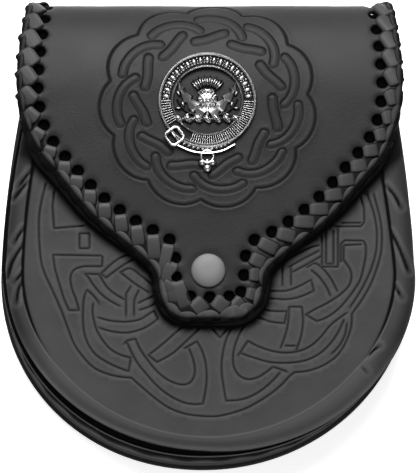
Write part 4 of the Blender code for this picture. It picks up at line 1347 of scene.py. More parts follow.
def build_front_panel():
    """The moulded front: a flat field pressed with the knot, a rounded side wall and a flange."""
    stations = body_stations(0.85)
    crease = outline_points(CREASE, stations)
    mouth = at_spacing(np.array([crease[-1], crease[0]]), 2.5)[1:-1]
    border = np.vstack([crease, mouth])
    stud = circle(SNAP_X, SNAP_Y, POST_RADIUS + GAP, 16)
    lines = front_lines()
    rails = [rails_beside(line, [0.0, *both_sides(0.3, 0.62, 1.1)], 0.8) for line in lines]
    rails.append(rails_beside(crease, both_sides(0.35, 0.8, 1.4), 0.9))
    fine = np.vstack([at_spacing(line, 0.12) for line in lines])
    flat, faces, place_of = flat_mesh([border, stud], np.vstack(rails), fine, PANEL_SPACING, 1.5)
    from_crease = distances(flat, at_spacing(crease, 0.3))
    from_line = distances(flat, fine)
    relief = pressed_line(from_line) + crease_height(flat[:, 1], -from_crease)
    swell = undulation(flat) * (1.0 - hill(distances(flat, border), 4.0))
    outer = np.column_stack([flat, FIELD_Z + relief + swell])
    inner = np.column_stack([flat, np.full(len(flat), FIELD_Z - PANEL_LEATHER)])
    ring = [place_of[i] for i in range(len(stations))]
    outer[ring, 2] = FIELD_Z + crease_height(crease[:, 1], 0.0)
    # Painted shade in the pressed lines with a painted highlight on their lips, painted light at the
    # crease, and the flap's painted shadow.
    tone = LINE_TONE * pressed_line(from_line) + crease_painted_light(flat[:, 1], -from_crease)
    tone = tone + painted_flap_shadow(flat)

    stations = [station_at(place) for place in stations]
    sections = [wall_section(station) for station in stations]
    columns = len(sections[0])
    wall, inside_wall, shade = (np.array([build(*pair) for pair in zip(stations, sections)]) for build in (
        place_section, lambda station, section: place_section(station, inner_section(section)), wall_painted_light))
    normals = unit(np.cross(np.gradient(wall, axis=1), np.gradient(wall, axis=0)))
    if normals[len(normals) // 2, 4, 2] < 0:
        normals = -normals
    pressed, layer = press_wrinkles(wall.reshape(-1, 3), normals.reshape(-1, 3))
    pressed, layer = pressed.reshape(wall.shape), layer.reshape(wall.shape[:2])
    fade = np.concatenate([[0.0, 0.5], np.ones(columns - 6), [0.5, 0.0, 0.0, 0.0]])
    wall = wall + (pressed - wall) * fade[None, :, None]
    shade += painted_flap_shadow(wall.reshape(-1, 3)).reshape(layer.shape)
    # Painted shade in the wrinkles and a painted highlight on the swells beside them, over the wall's
    # painted light.
    layer = WRINKLE_TONE * layer * fade[None, :] + shade

    wall_index = len(outer) + np.arange(len(stations) * (columns - 1)).reshape(-1, columns - 1)
    index = np.column_stack([ring, wall_index]).ravel().tolist()
    faces += [tuple(index[i] for i in face) for face in grid_faces(len(stations), columns)]
    outer = np.vstack([outer, wall[:, 1:].reshape(-1, 3)])
    inner = np.vstack([inner, inside_wall[:, 1:].reshape(-1, 3)])
    tone = np.concatenate([tone, layer[:, 1:].ravel()])
    points, solid = closed_shell(outer, inner, faces)
    # The inner face is painted a little darker: painted shade inside the pouch.
    layer = np.concatenate([tone, np.full(len(tone), -0.1)])
    piece = add_mesh("moulded_front", points, solid, "field_hide", sharp=60.0, relief=layer)
    finish(piece, "pouch_leather", "front_panel")


# === Gusset ===

GUSSET = table("inset up",
    (0.4, 1.0), (3.0, 1.0), (2.6, 0.92), (1.9, 0.78), (1.3, 0.60), (1.2, 0.42), (1.8, 0.22), (2.6, 0.08),
    (3.0, 0.0), (1.35, 0.0))
# Painted light on the gusset by height: a painted highlight on its lower lip and painted shade growing to
# black under the flange.
GUSSET_HEIGHTS = (0.0, 0.15, 0.35, 0.55, 0.75)
GUSSET_PAINTED_LIGHT = (0.5, 0.2, -0.3, -0.9, -1.5)
GUSSET_STEPS = 3
GUSSET_PLEAT = 0.35
GUSSET_PLEAT_LENGTH = 17.0


def gusset_rows(place, travelled):
    """Outer and inner faces of the gusset at one station, from its upper lip to its lower."""
    front_edge = outline_point(FLANGE, place)
    back_edge = outline_point(GUSSET_BACK, place)
    inward = unit(outline_point(CREASE, place) - front_edge)
    top = FLANGE_Z - PANEL_LEATHER - GAP - GUSSET_LEATHER
    low = back_face_z(back_edge[1]) + FLAP_LEATHER + GAP + GUSSET_LEATHER
    rows = spline(GUSSET, GUSSET_STEPS)
    rows[:, 1] = ramp(rows[:, 1])
    normals = edge_normals(np.column_stack([rows[:, 0], rows[:, 1] * (top - low)]))
    pleat = GUSSET_PLEAT * math.sin(travelled / GUSSET_PLEAT_LENGTH * 2.0 * math.pi)
    pleat *= np.sin(np.pi * rows[:, 1]) ** 2
    outer = np.column_stack([rows[:, 0] + pleat, low + rows[:, 1] * (top - low)])
    side = 1.0 if normals[len(rows) // 2, 0] > 0 else -1.0
    inner = outer + side * GUSSET_LEATHER * normals
    tone = np.interp(rows[:, 1], GUSSET_HEIGHTS, GUSSET_PAINTED_LIGHT)
    # Painted shade along the lower lip's edge.
    tone[-1] = -1.0
    faces = []
    for section in (outer, inner):
        share = ramp((section[:, 1] - low) / (top - low))
        edge = back_edge + share[:, None] * (front_edge - back_edge)
        faces.append(np.column_stack([edge + section[:, :1] * inward, section[:, 1]]))
    return faces[0], faces[1], tone


def build_gusset():
    """The strip that joins front to back, bulging softly between its two turned-in lips."""
    stations = body_stations(2.2)
    travelled = running_length(outline_points(FLANGE, stations))
    rows = [gusset_rows(place, run) for place, run in zip(stations, travelled)]
    outer, inner, tone = (np.array(column) for column in zip(*rows))
    faces = grid_faces(len(stations), outer.shape[1])
    points, solid = closed_shell(outer.reshape(-1, 3), inner.reshape(-1, 3), faces)
    # The inner face is painted darker: painted shade inside the pouch.
    layer = np.concatenate([tone.ravel(), np.full(tone.size, -0.6)])
    piece = add_mesh("side_gusset", points, solid, "gusset_hide", relief=layer)
    finish(piece, "gusset_leather", "gusset")


# === Lacing ===

# How the lace lies along the edge, by distance from the tongue's tip: right is negative. The core column is
# how far out the near-black strip of painted shade lies beneath the braid.
LACE_LAY = table("from_tip slant width loop arch shift core",
    (-205.0, 22.0, 9.8, 0.60, 0.25, 0.4, 0.2), (-150.0, 26.0, 10.0, 0.60, 0.25, 0.4, 0.2),
    (-122.0, 30.0, 6.4, 0.90, 0.60, -0.3, 1.0), (-104.0, 46.0, 5.8, 0.72, 0.85, 0.2, 2.2),
    (-58.0, 48.0, 5.8, 0.72, 0.85, -0.6, -0.4), (-40.0, 10.0, 6.0, 0.85, 0.80, -1.4, -0.2),
    (-24.0, 14.0, 5.8, 0.85, 0.90, -1.5, 1.0), (0.0, 42.0, 7.0, 1.10, 1.00, -4.6, -1.4),
    (20.0, 44.0, 7.0, 1.00, 0.90, -2.3, 0.0), (36.0, 40.0, 6.2, 0.95, 0.80, -2.2, -1.2),
    (52.0, 42.0, 6.0, 0.95, 0.95, -2.2, -0.8), (80.0, 42.0, 6.0, 0.95, 1.00, -2.0, 0.3),
    (108.0, 40.0, 6.0, 1.00, 1.00, -1.8, 1.0), (124.0, 38.0, 6.4, 0.95, 0.60, -0.8, 1.1),
    (150.0, 37.0, 9.8, 0.60, 0.25, 0.4, 0.2), (205.0, 32.0, 9.8, 0.60, 0.25, 0.4, 0.2))
LAY_ROWS = np.array(LACE_LAY)
LACE_SINK = 0.22
LACE_SEED = 7
LOOP_TURNOVER = 12.0
CORNER_SPREAD = 1.4

# A loop of the edge braid, from its blunt head on the leather to its tail under the edge: distance
# away from the tongue's tip, distance out, height over the leather's middle, facing and size.
LOOP = table("along out away turn swell",
    (-6.6, 2.7, -0.40, 15.0, 0.60), (-5.0, 2.0, 0.70, 45.0, 0.85), (-3.2, 1.35, 1.50, 66.0, 1.02),
    (-1.2, 0.75, 2.00, 78.0, 1.12), (0.7, 0.45, 2.10, 82.0, 1.12), (2.1, 0.85, 1.90, 66.0, 1.00),
    (3.0, 1.80, 1.20, 40.0, 0.88), (3.5, 2.70, 0.00, 10.0, 0.72), (3.8, 3.00, -1.20, -15.0, 0.50))
# Along the stitch's back: share of the way to its foot, width, and the painted shade that darkens it
# towards the foot.
STITCH_BACK = table("share wide tone",
    (0.3, 1.03, -0.1), (0.5, 1.06, -0.3), (0.66, 1.02, -0.5), (0.76, 0.92, -1.2))
LOOP_WIDTH = 4.3
LOOP_THICKNESS = 1.7
# Painted shade on the braid: darker at the sides, where it arches least, and darkening where it turns away
# from the leather.
SIDE_BRAID_PAINTED_SHADE = -0.9
BRAID_SHADE_START = (1.0, -0.6, -0.6, 0.2)
BRAID_SHADE_TURN = (14.0, 34.0, 108.0, 132.0)
BRAID_SHADE_REACH = 2.2
BRAID_SHADE_TONE = 1.4
LOOSE = 0.2
STITCH_UNEVEN = 0.03
HOLE_CLEAR = 0.35
# The near-black strip of painted shade beneath the braid.
CORE_LEAST_OUT = -1.2
CORE_AWAY = -0.4
CORE_TURN = 75.0
CORE_WIDTH = 5.0
CORE_THICKNESS = 1.9


class LacedEdge:
    """The flap's laced edge by distance along it, with outward directions and the tongue's tip."""

    def __init__(self):
        edge = at_spacing(laced_edge(), 0.25)
        self.length = running_length(edge)
        outwards = -edge_normals(edge)
        padded = np.pad(outwards, ((12, 12), (0, 0)), mode="edge")
        smooth = [np.convolve(column, np.hanning(25), mode="valid") for column in padded.T]
        self.rows = np.hstack([edge, unit(np.column_stack(smooth))])
        self.tip = self.length[int(np.argmin(edge[:, 1]))]

    def at(self, place):
        """Points and outward directions at distances along the edge."""
        rows = read_off(np.clip(place, 0.0, self.length[-1]), self.length, self.rows)
        return rows[..., :2], unit(rows[..., 2:])

    def nearest(self, point):
        """The distance along the edge of its place nearest to a point, and how far away that is."""
        far = np.linalg.norm(self.rows[:, :2] - point, axis=1)
        i = int(np.argmin(far))
        return self.length[i], far[i]


def lay_at(from_tip):
    """How the lace lies at a distance, or at many distances, from the tongue's tip."""
    return LACE_LAY[0]._make(read_off(from_tip, LAY_ROWS[:, 0], LAY_ROWS).T)


# A path of the lace in the plane that stands on the leather through hole and foot: distance from the
# hole towards the foot, height over the leather's middle, the facing direction's two parts, size and tone.
PATH_COLUMNS = "out away face_out face_up size tone"


def swept_path(rows, hole, direction, size):
    """A path of the lace with its facing directions, its sizes and its tones."""
    rows = spline(table(PATH_COLUMNS, *rows), 2)
    flat = hole + np.outer(rows[:, 0], direction)
    points = bend(*flat.T, rows[:, 1])
    facing = np.column_stack([np.outer(rows[:, 2], direction), rows[:, 3]])
    return points, unit(bend_direction(flat[:, 1], facing)), rows[:, 4] * size, rows[:, 5]


def inner_path(hole, direction, thickness, size):
    """The lace where it passes under the leather and up into its hole."""
    half = FLAP_LEATHER / 2
    under = -half - thickness / 2 - 0.2
    rim = HOLE_RADIUS
    # Painted shade: the lace is painted black inside the hole and under the leather.
    return swept_path([
        (-rim - 1.6, under, 0.0, 1.0, 0.95, -1.0), (-0.8, under, 0.0, 1.0, 0.95, -1.0),
        (rim - 1.5, under + 0.3, -0.5, 0.85, 0.90, -1.0), (rim - 0.6, -half * 0.5, -0.95, 0.3, 0.80, -1.0),
        (rim - 0.5, half * 0.2, -1.0, 0.1, 0.80, -1.0)], hole, direction, size)


def stitch_path(hole, direction, arm, thickness, size, shaded):
    """One visible stitch: out of its hole, across the leather and round the edge."""
    half = FLAP_LEATHER / 2
    lift = half + thickness / 2 - LACE_SINK
    rim = HOLE_RADIUS
    # Painted light along the stitch: shade inside the hole, a highlight where it bends over the rim, shade
    # growing towards its foot, and black where it turns round the edge.
    rows = [(rim - 0.5, -half * 0.3, -1.0, 0.1, 0.80, -0.8),
            (rim - 0.45, half * 0.5, -0.95, 0.3, 0.82, -0.3),
            (rim - 0.15, half + 0.05, -0.75, 0.65, 0.84, 0.3),
            (rim + 0.5, lift + 0.12, -0.28, 0.95, 0.92, 0.4), (rim + 1.3, lift + 0.22, 0.0, 1.0, 0.97, 0.2)]
    for share, wide, tone in STITCH_BACK:
        rows.append((rim + (arm - rim) * share, lift + 0.20 * math.cos(share * math.pi / 2), 0.1 * share,
                     1.0, wide, tone * shaded))
    for angle in np.radians((75.0, 40.0, 0.0, -40.0, -80.0)):
        rows.append((arm + (thickness / 2 + 0.1) * math.cos(angle), lift * math.sin(angle),
                     math.cos(angle), math.sin(angle), 0.86, -1.0))
    return swept_path(rows, hole, direction, size)


def along_edge(edge, places, outs, heights, turns):
    """Points and facing directions beside the edge, from distances out, heights and turns."""
    turns = np.radians(turns)
    point, facing = edge.at(places)
    flat = point + facing * np.reshape(outs, (-1, 1))
    normal = np.column_stack([facing * np.cos(turns)[:, None], np.sin(turns)])
    return bend(*flat.T, heights), unit(bend_direction(flat[:, 1], normal))


def loop_path(edge, place, lay, forward):
    """One loop of the edge braid, arching over the foot of a stitch."""
    rows = spline(LOOP, 3)
    points, facing = along_edge(edge, place + forward * rows[:, 0], lay.shift + lay.arch * rows[:, 1],
                                rows[:, 2], rows[:, 3])
    # The braid is painted darker at the sides, where it arches least.
    return points, facing, rows[:, 4] * lay.loop, np.full(len(rows), SIDE_BRAID_PAINTED_SHADE * (1.0 - lay.arch))


def core_path(edge):
    """A near-black strip of lace beneath the braid, all along the edge: painted shade for the braid's
    underside.
    """
    places = np.linspace(0.5, edge.length[-1] - 0.5, 260)
    same = np.ones(len(places))
    lay = lay_at(places - edge.tip)
    out = np.maximum(lay.core, CORE_LEAST_OUT)
    points, facing = along_edge(edge, places, out, CORE_AWAY * same, CORE_TURN * same)
    return points, facing, lay.arch, 0.0 * same


def lace_lay(edge):
    """Every stitch as its hole, its foot's place on the edge, and how it lies.

    Round a corner the feet spread out, and further stitches from the same hole fill the space.
    """
    lays = []
    for hole in lacing_holes():
        place, arm = edge.nearest(hole)
        lay = lay_at(place - edge.tip)
        lays.append((hole, place - arm * math.tan(math.radians(lay.slant)), lay))
    filled = lays[:1]
    for (_, before, _), (hole, foot, lay) in zip(lays, lays[1:]):
        extra = int((foot - before) / (HOLE_PITCH * CORNER_SPREAD))
        filled += [(hole, before + (foot - before) * k / (extra + 1), lay) for k in range(1, extra + 1)]
        filled.append((hole, foot, lay))
    return filled


def press_round_holes(piece, radius):
    """Spreads the lace against the walls of the holes, so that it leaves them open."""
    holes = lacing_holes()
    centres = bend(*holes.T, np.zeros(len(holes)))
    axes = bend(*holes.T, np.ones(len(holes))) - centres
    points = points_of(piece)
    hole, _ = nearest(points, centres)
    away = points - centres[hole]
    away -= axes[hole] * np.einsum("ij,ij->i", away, axes[hole])[:, None]
    far = np.linalg.norm(away, axis=1)
    push = np.clip(radius - far, 0.0, None) / np.maximum(far, 0.1)
    piece.data.vertices.foreach_set("co", ((points + away * push[:, None]) * MM).ravel())
    piece.data.update()


def shade_braid(piece, edge):
    """Paints shade onto the braid where it turns away from the leather, darker towards the flap's
    underside.
    """
    places = np.arange(0.0, edge.length[-1], 0.5)
    none = np.zeros(len(places))
    middle, _ = along_edge(edge, places, none, none, none)
    out, _ = along_edge(edge, places, none + 1.0, none, none)
    from_tip = places - edge.tip
    shift = lay_at(from_tip).shift
    points = points_of(piece)
    at, _ = nearest(points, middle)
    far = np.einsum("ij,ij->i", points - middle[at], (out - middle)[at]) - shift[at]
    tone = np.zeros(len(points))
    layer = piece.data.attributes["relief"].data
    layer.foreach_get("value", tone)
    start = np.interp(np.abs(from_tip), BRAID_SHADE_TURN, BRAID_SHADE_START)[at]
    layer.foreach_set("value", tone - BRAID_SHADE_TONE * ramp((far - start) / BRAID_SHADE_REACH))


def build_lacing(width, thickness):
    """The lace round the flap: a slanting stitch from every hole and a braid along the edge."""
    edge = LacedEdge()
    chance = np.random.default_rng(LACE_SEED)
    stitches, inners, loops = [], [], []
    for hole, foot_place, lay in lace_lay(edge):
        jitter = chance.normal(0.0, 1.0, 3)
        foot, outwards = edge.at(foot_place + LOOSE * jitter[0])
        foot = foot + outwards * min(lay.shift + 0.6, 0.0)
        arm = float(np.linalg.norm(foot - hole))
        direction = (foot - hole) / arm
        size = lay.width * (1.0 + STITCH_UNEVEN * jitter[1]) / width
        shaded = ramp((lay.arch - 0.3) / 0.4)
        stitches.append(stitch_path(hole, direction, arm, thickness, size, shaded))
        inners.append(inner_path(hole, direction, thickness, 1.1))
        forward = 1.0 if foot_place > edge.tip + LOOP_TURNOVER else -1.0
        loops.append(loop_path(edge, foot_place + LOOSE * jitter[2], lay, forward))
    section = strap_section()
    # Each sweep's rim tone is the strength of the painted shade along its edges.
    for name, paths, wide, thick, rim_tone, hide in (
            ("lace_stitches", stitches, width, thickness, 0.9, "lace_hide"),
            ("lace_inside", inners, width, thickness, 0.0, "inner_lace"),
            ("braid_core", [core_path(edge)], CORE_WIDTH, CORE_THICKNESS, 0.0, "inner_lace"),
            ("edge_braid", loops, LOOP_WIDTH, LOOP_THICKNESS, 0.15, "braid_hide")):
        piece = run_nodes(path_object(name, paths), "swept_strap", section=section, width=wide * MM,
                          thickness=thick * MM, rim_tone=rim_tone, material=finish_of(hide))
        if paths is stitches:
            press_round_holes(piece, HOLE_RADIUS - HOLE_CLEAR)
        elif paths is loops:
            shade_braid(piece, edge)
        finish(piece, "lace", "edge_lacing")
    bpy.data.objects.remove(section)


# === Press stud ===

SNAP_SIDES = 64
SNAP_RIM = 0.85
SNAP_FULLNESS = 3.2


def build_snap():
    """The satin cap with its post and socket, and the finish of the stud that stays as it is."""
    flap_low = FLAP_TOP_Z - FLAP_LEATHER
    seat = FLAP_TOP_Z + 0.02
    top = FLAP_TOP_Z + GAP + SNAP_DOME
    crown = [(0.0, FIELD_Z + 0.9), (5.4, FIELD_Z + 0.9), (5.6, FIELD_Z + 1.3), (5.6, flap_low - GAP),
             (POST_RADIUS, flap_low - GAP), (POST_RADIUS, seat), (SNAP_RADIUS - 0.5, seat),
             (SNAP_RADIUS - 0.08, seat + 0.12), (SNAP_RADIUS, seat + 0.45),
             (SNAP_RADIUS - 0.1, seat + SNAP_RIM)]
    for share in (0.94, 0.86, 0.74, 0.58, 0.4, 0.22, 0.1):
        rise = (top - seat - SNAP_RIM) * (1.0 - share**SNAP_FULLNESS)
        crown.append((SNAP_RADIUS * share, seat + SNAP_RIM + rise))
    crown.append((0.0, top))
    points, faces = lathe(SNAP_X, SNAP_Y, crown, SNAP_SIDES)
    relief = np.where(points[:, 2] > seat + 0.4, 0.6, 0.0)
    cap = add_mesh("snap_dome", points, faces, "satin_nickel", relief=relief)
    finish(cap, "snap_metal", "snap_cap")
    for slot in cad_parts["snap_stud"].material_slots:
        slot.material = finish_of("satin_nickel")


# === Badge ===

BADGE_SIDES = 96
BADGE_FACE_LIFT = 1.3
BLADE = ((-1.0, 0.35), (-0.55, 0.75), (0.0, 1.0), (0.55, 0.75), (1.0, 0.35))
CHANNEL = ((-1.0, 0.6), (-0.88, 1.0), (-0.7, 0.95), (-0.6, 0.3), (0.0, 0.25), (0.6, 0.3), (0.7, 0.95),
           (0.88, 1.0), (1.0, 0.6))


def badge_point(x, y, height):
    """A place on the badge, from the centre of its face and over the flap's face."""
    return (BADGE_X + x, BADGE_Y + BADGE_FACE_LIFT + y, FLAP_TOP_Z + height)


def badge_band():
    """The strap ring: a hollow band between two raised, rounded rims."""
    inner, outer = BADGE_INNER_RADIUS, BADGE_RADIUS
    profile = [(inner, 0.1), (outer, 0.1), (outer + 0.02, 1.2), (outer - 0.1, 1.8), (outer - 0.35, 2.1),
               (outer - 0.6, 1.8), (outer - 0.75, 1.5), (outer - 0.95, 1.8), (outer - 1.15, 1.9),
               (outer - 1.35, 1.6), (outer - 1.5, 0.75), (outer - 1.7, 0.65), (inner + 1.2, 0.65),
               (inner + 1.0, 0.75), (inner + 0.85, 1.8), (inner + 0.5, 2.1), (inner + 0.15, 1.8),
               (inner, 1.2)]
    turns = 2.0 * np.pi * np.arange(BADGE_SIDES) / BADGE_SIDES
    return hoop([[badge_point(r * math.cos(turn), r * math.sin(turn), h) for r, h in profile]
                 for turn in turns])


def round_bar(place, side, width, height, thickness):
    """The ring of points round a bar at one place of its line, from its half width and half thickness."""
    return [badge_point(*(place + side * width * math.cos(turn)), height + thickness * math.sin(turn))
            for turn in np.linspace(0.0, 2.0 * np.pi, 10, endpoint=False)]


def dome(x, y, half_x, half_y, height, turn=0.0, low=0.1, sides=24, rows=6):
    """A rounded button with an oval foot."""
    angle = math.radians(turn)
    rings = []
    for share in np.linspace(0.0, 0.96, rows):
        ring = circle(0.0, 0.0, 1.0, sides) * (1.0 - share**2) ** 0.5 * (half_x, half_y)
        a, b = ring.T
        px = x + a * math.cos(angle) - b * math.sin(angle)
        py = y + a * math.sin(angle) + b * math.cos(angle)
        rings.append(np.column_stack(badge_point(px, py, np.full(sides, low + share * (height - low)))))
    return loft(rings)


def blade(line, widths, low, height, ridge, section=BLADE):
    """A leaf or ribbon along a flat line, with a raised rib along its middle."""
    line = np.asarray(line, dtype=float)
    normals = edge_normals(line)
    widths = np.asarray(widths)[:, None]
    columns = []
    for across, up in section:
        flat = line + normals * across * widths
        up += ridge * (across == 0.0)
        columns.append([badge_point(x, y, low + up * (height - low)) for x, y in flat])
    outer = np.array(columns).transpose(1, 0, 2).reshape(-1, 3)
    inner = outer.copy()
    inner[:, 2] = FLAP_TOP_Z + 0.05
    return closed_shell(outer, inner, grid_faces(len(line), len(section)))


THISTLE_LEAF = ((1.2, -5.6), (5.0, -3.2), (8.4, 0.4), (11.2, 4.8), (12.6, 8.6))
SPRIG = ((2.0, -6.2), (6.5, -6.0), (10.4, -3.6), (13.2, 0.6))
SPRIG_LEAVES = table("x y turn",
    (6.4, -4.6, 60.0), (8.8, -6.3, -20.0), (10.6, -1.6, 70.0), (12.6, -3.4, 0.0), (3.4, -4.6, 80.0),
    (12.6, 3.2, 60.0))
BAR_Y = -8.2
BUCKLE_CORNERS = np.array([(-18.9, -15.6), (-13.6, -11.4), (-9.6, -16.6), (-14.9, -20.8)])
STRAP_END = ((-12.0, -18.4), (-6.0, -20.9), (0.0, -21.6), (6.0, -20.6), (11.0, -18.0))
TIP_LOOP = np.array([0.0, -25.0])
TREFOIL = table("x y size",
    (-2.3, -27.6, 1.75), (2.3, -27.6, 1.75), (0.0, -30.2, 2.0), (0.0, -27.0, 1.3))


def badge_motif():
    """A thistle with its leaves, over a twisted bar."""
    parts = [badge_band(), dome(0.0, 0.6, 4.7, 4.3, 2.6, sides=32, rows=9)]
    for i, y in enumerate((-2.6, -1.3, 0.0, 1.3, 2.6)):
        for x in np.arange(-3.6 + 0.8 * (i % 2), 4.0, 1.6):
            room = 1.0 - (x / 4.6) ** 2 - (y / 4.2) ** 2
            if room > 0.0:
                parts.append(dome(x, 0.6 + y, 0.62, 0.8, 2.5 + math.sqrt(room), low=0.8, sides=10, rows=4))
    parts.append(dome(0.0, 4.2, 3.7, 1.2, 3.4, sides=28))
    for i, turn in enumerate(90.0 + np.linspace(-44.0, 44.0, 13)):
        reach, angle = 7.6 + 0.5 * (i % 2), math.radians(turn)
        parts.append(dome(reach * math.cos(angle), 0.8 + reach * math.sin(angle), 2.9, 0.48,
                          2.5 + 0.25 * (i % 2), turn=turn, sides=12))
    for side in (-1, 1):
        rib = spline(np.array(THISTLE_LEAF) * (side, 1), 9)
        share = np.linspace(0.0, 1.0, len(rib))
        teeth = 0.55 + 0.75 * (1.0 - (share * 4.0) % 1.0)
        parts.append(blade(rib, 2.9 * teeth * (1.0 - share) ** 0.55 + 0.12, 0.4, 2.1, 0.25))
        sprig = spline(np.array(SPRIG) * (side, 1), 6)
        parts.append(blade(sprig, np.linspace(0.75, 0.5, len(sprig)), 0.3, 1.4, 0.2))
        for leaf in SPRIG_LEAVES:
            parts.append(dome(side * leaf.x, leaf.y, 1.6, 0.75, 1.7, turn=side * leaf.turn, sides=14))
    parts.append(dome(0.0, -4.6, 1.2, 3.0, 2.4, sides=16))
    for x in 4.2 * np.arange(-3, 4):
        parts += [dome(x, BAR_Y, 2.5, 1.5, 2.6, turn=-50.0, low=0.3, sides=20),
                  dome(x, BAR_Y, 1.7, 0.75, 3.1, turn=-50.0, low=2.0, sides=16)]
    bar = np.column_stack([np.linspace(-14.6, 14.6, 12), np.full(12, BAR_Y)])
    return parts + [blade(bar, np.full(12, 1.3), 0.2, 1.3, 0.0)]


def badge_buckle():
    """The buckle at the ring's lower left, the strap's end across its foot, the tip and the pins."""
    corners = zip(BUCKLE_CORNERS, np.roll(BUCKLE_CORNERS, -1, axis=0))
    frame_line = np.array([a + share * (b - a) for a, b in corners for share in (0.16, 0.4, 0.6, 0.84)])
    middle = frame_line.mean(axis=0)
    sections = []
    for before, place, after in zip(np.roll(frame_line, 1, axis=0), frame_line,
                                    np.roll(frame_line, -1, axis=0)):
        ahead = unit(after - before)
        side = np.array([ahead[1], -ahead[0]])
        side = side if np.dot(side, place - middle) > 0 else -side
        sections.append(round_bar(place, side, 0.8, 2.1, 0.8))
    tail = spline(STRAP_END, 6)
    parts = [hoop(sections), dome(*middle, 4.2, 0.75, 3.0, turn=128.0, low=0.4, sides=14),
             blade(tail, np.full(len(tail), 2.5), 0.3, 2.5, 0.0, CHANNEL)]
    parts += [dome(*place, 1.15, 0.9, 2.4, turn=30.0, low=0.4, sides=14) for place in tail[2:-1:2]]
    parts.append(hoop([round_bar(place, unit(place - TIP_LOOP), 0.65, 1.3, 0.7)
                       for place in circle(*TIP_LOOP, 2.7, 28)]))
    parts += [dome(leaf.x, leaf.y, leaf.size, leaf.size, 2.2, low=0.2, sides=20) for leaf in TREFOIL]
    low, high = FLAP_TOP_Z - FLAP_LEATHER - 0.6, FLAP_TOP_Z + 0.6
    pin = [(0.0, low), (BADGE_PIN_RADIUS, low), (BADGE_PIN_RADIUS, high), (0.0, high)]
    return parts + [lathe(BADGE_X + side * BADGE_PIN_X, BADGE_Y, pin, 12) for side in (-1, 1)]


def height_relief(points, low, high):
    """Relief from 0 at one height over the flap to 1 at another."""
    return ramp((points[:, 2] - FLAP_TOP_Z - low) / (high - low))


BAND_RUNS = table("name count start stop",
    ("badge_studs", 19, 6.0, 174.0), ("badge_hatching_left", 10, 181.0, 212.0),
    ("badge_hatching_right", 36, 248.0, 358.0))
STUD_BEADS = table("x y half_x half_y height",
    (0.0, 0.0, 2.05, 0.95, 1.3), (1.15, 1.5, 0.6, 0.6, 1.2), (-1.15, 1.35, 0.6, 0.5, 1.2),
    (0.0, 1.42, 0.5, 0.4, 1.0))


def build_badge():
    """The cast silver badge, and the studs and hatching that fill its band."""
    points, faces = joined(badge_motif() + badge_buckle())
    piece = add_mesh("silver_badge", points, faces, "antique_silver", sharp=40.0,
                     relief=height_relief(points, 1.1, 2.2))
    finish(piece, "badge_metal", "crest_badge")
    middle = (BADGE_RADIUS + BADGE_INNER_RADIUS) / 2 - 0.1
    for run in BAND_RUNS:
        shape = stud_shape() if run.name == "badge_studs" else hatch_shape()
        turns = np.radians(np.linspace(run.start, run.stop, run.count))
        places = [badge_point(middle * math.cos(turn), middle * math.sin(turn), 0.6) for turn in turns]
        outwards = np.column_stack([np.cos(turns), np.sin(turns), np.zeros(run.count)])
        cloud = new_object(run.name, places, [], [], facing=[(0.0, 0.0, 1.0)] * run.count,
                           along=outwards, swell=np.ones(run.count))
        cloud = run_nodes(cloud, "set_on_points", shape=shape, size=1.0,
                          material=finish_of("antique_silver"))
        add_layer(cloud.data, "relief", height_relief(points_of(cloud), 0.8, 1.6))
        bpy.data.objects.remove(shape)
        finish(cloud, "badge_metal", "crest_badge")


def stud_shape():
    """A small lozenge, longer across the band than along it, with a bead at each side."""
    parts = []
    for bead in STUD_BEADS:
        ring = circle(0.0, 0.0, 1.0, 8) * (bead.half_x, bead.half_y)
        parts.append(loft([[(bead.x + a, bead.y + b, bead.height * share)
                            for a, b in ring * math.sqrt(1.0 - share**2)]
                           for share in (0.0, 0.5, 0.8, 0.97)]))
    return add_mesh("stud_shape", *joined(parts), "antique_silver")


def hatch_shape():
    """A thin raised bar that crosses the band."""
    rings = []
    for share in (0.0, 0.6, 1.0):
        half = 0.24 * (1.0 - 0.6 * share)
        corners = ((-2.1, -half), (2.1, -half), (2.1, half), (-2.1, half))
        rings.append([(x, y, 1.2 * share) for x, y in corners])
    return add_mesh("hatch_shape", *loft(rings), "antique_silver")


# === Belt keepers and rivets ===

KEEPER_CORNER = 2.5
KEEPER_SPACING = 0.9


def keeper_line():
    """The keeper's middle line in side view, as (y, z), rounded where it bends."""
    flat = KEEPER_FLAT / 2
    foot = flat + KEEPER_RAMP
    tab = foot + KEEPER_TAB
    drop = KEEPER_LEATHER + GAP
    rows = []
    for offset in (-tab, -foot - 2.2, -foot, -flat - 0.4, -flat + 1.6, 0.0, flat - 1.6, flat + 0.4, foot,
                   foot + 2.2, tab):
        y = KEEPER_Y + offset
        low = back_face_z(y) - drop
        lift = ramp((foot - abs(offset)) / KEEPER_RAMP)
        lift = lift * lift * (3.0 - 2.0 * lift)
        rows.append((y, low * (1.0 - lift) + KEEPER_LEATHER / 2))
    return spline(rows, 5)


def rounded_rectangle(half_x, low, high, corner):
    """A closed loop with rounded corners."""
    loop = []
    for cx, cy, start in ((half_x - corner, high - corner, 0.0), (-half_x + corner, high - corner, 90.0),
                          (-half_x + corner, low + corner, 180.0), (half_x - corner, low + corner, 270.0)):
        for turn in np.radians(np.linspace(start, start + 90.0, 7)):
            loop.append((cx + corner * math.cos(turn), cy + corner * math.sin(turn)))
    return at_spacing(looped(loop), KEEPER_SPACING)[:-1]


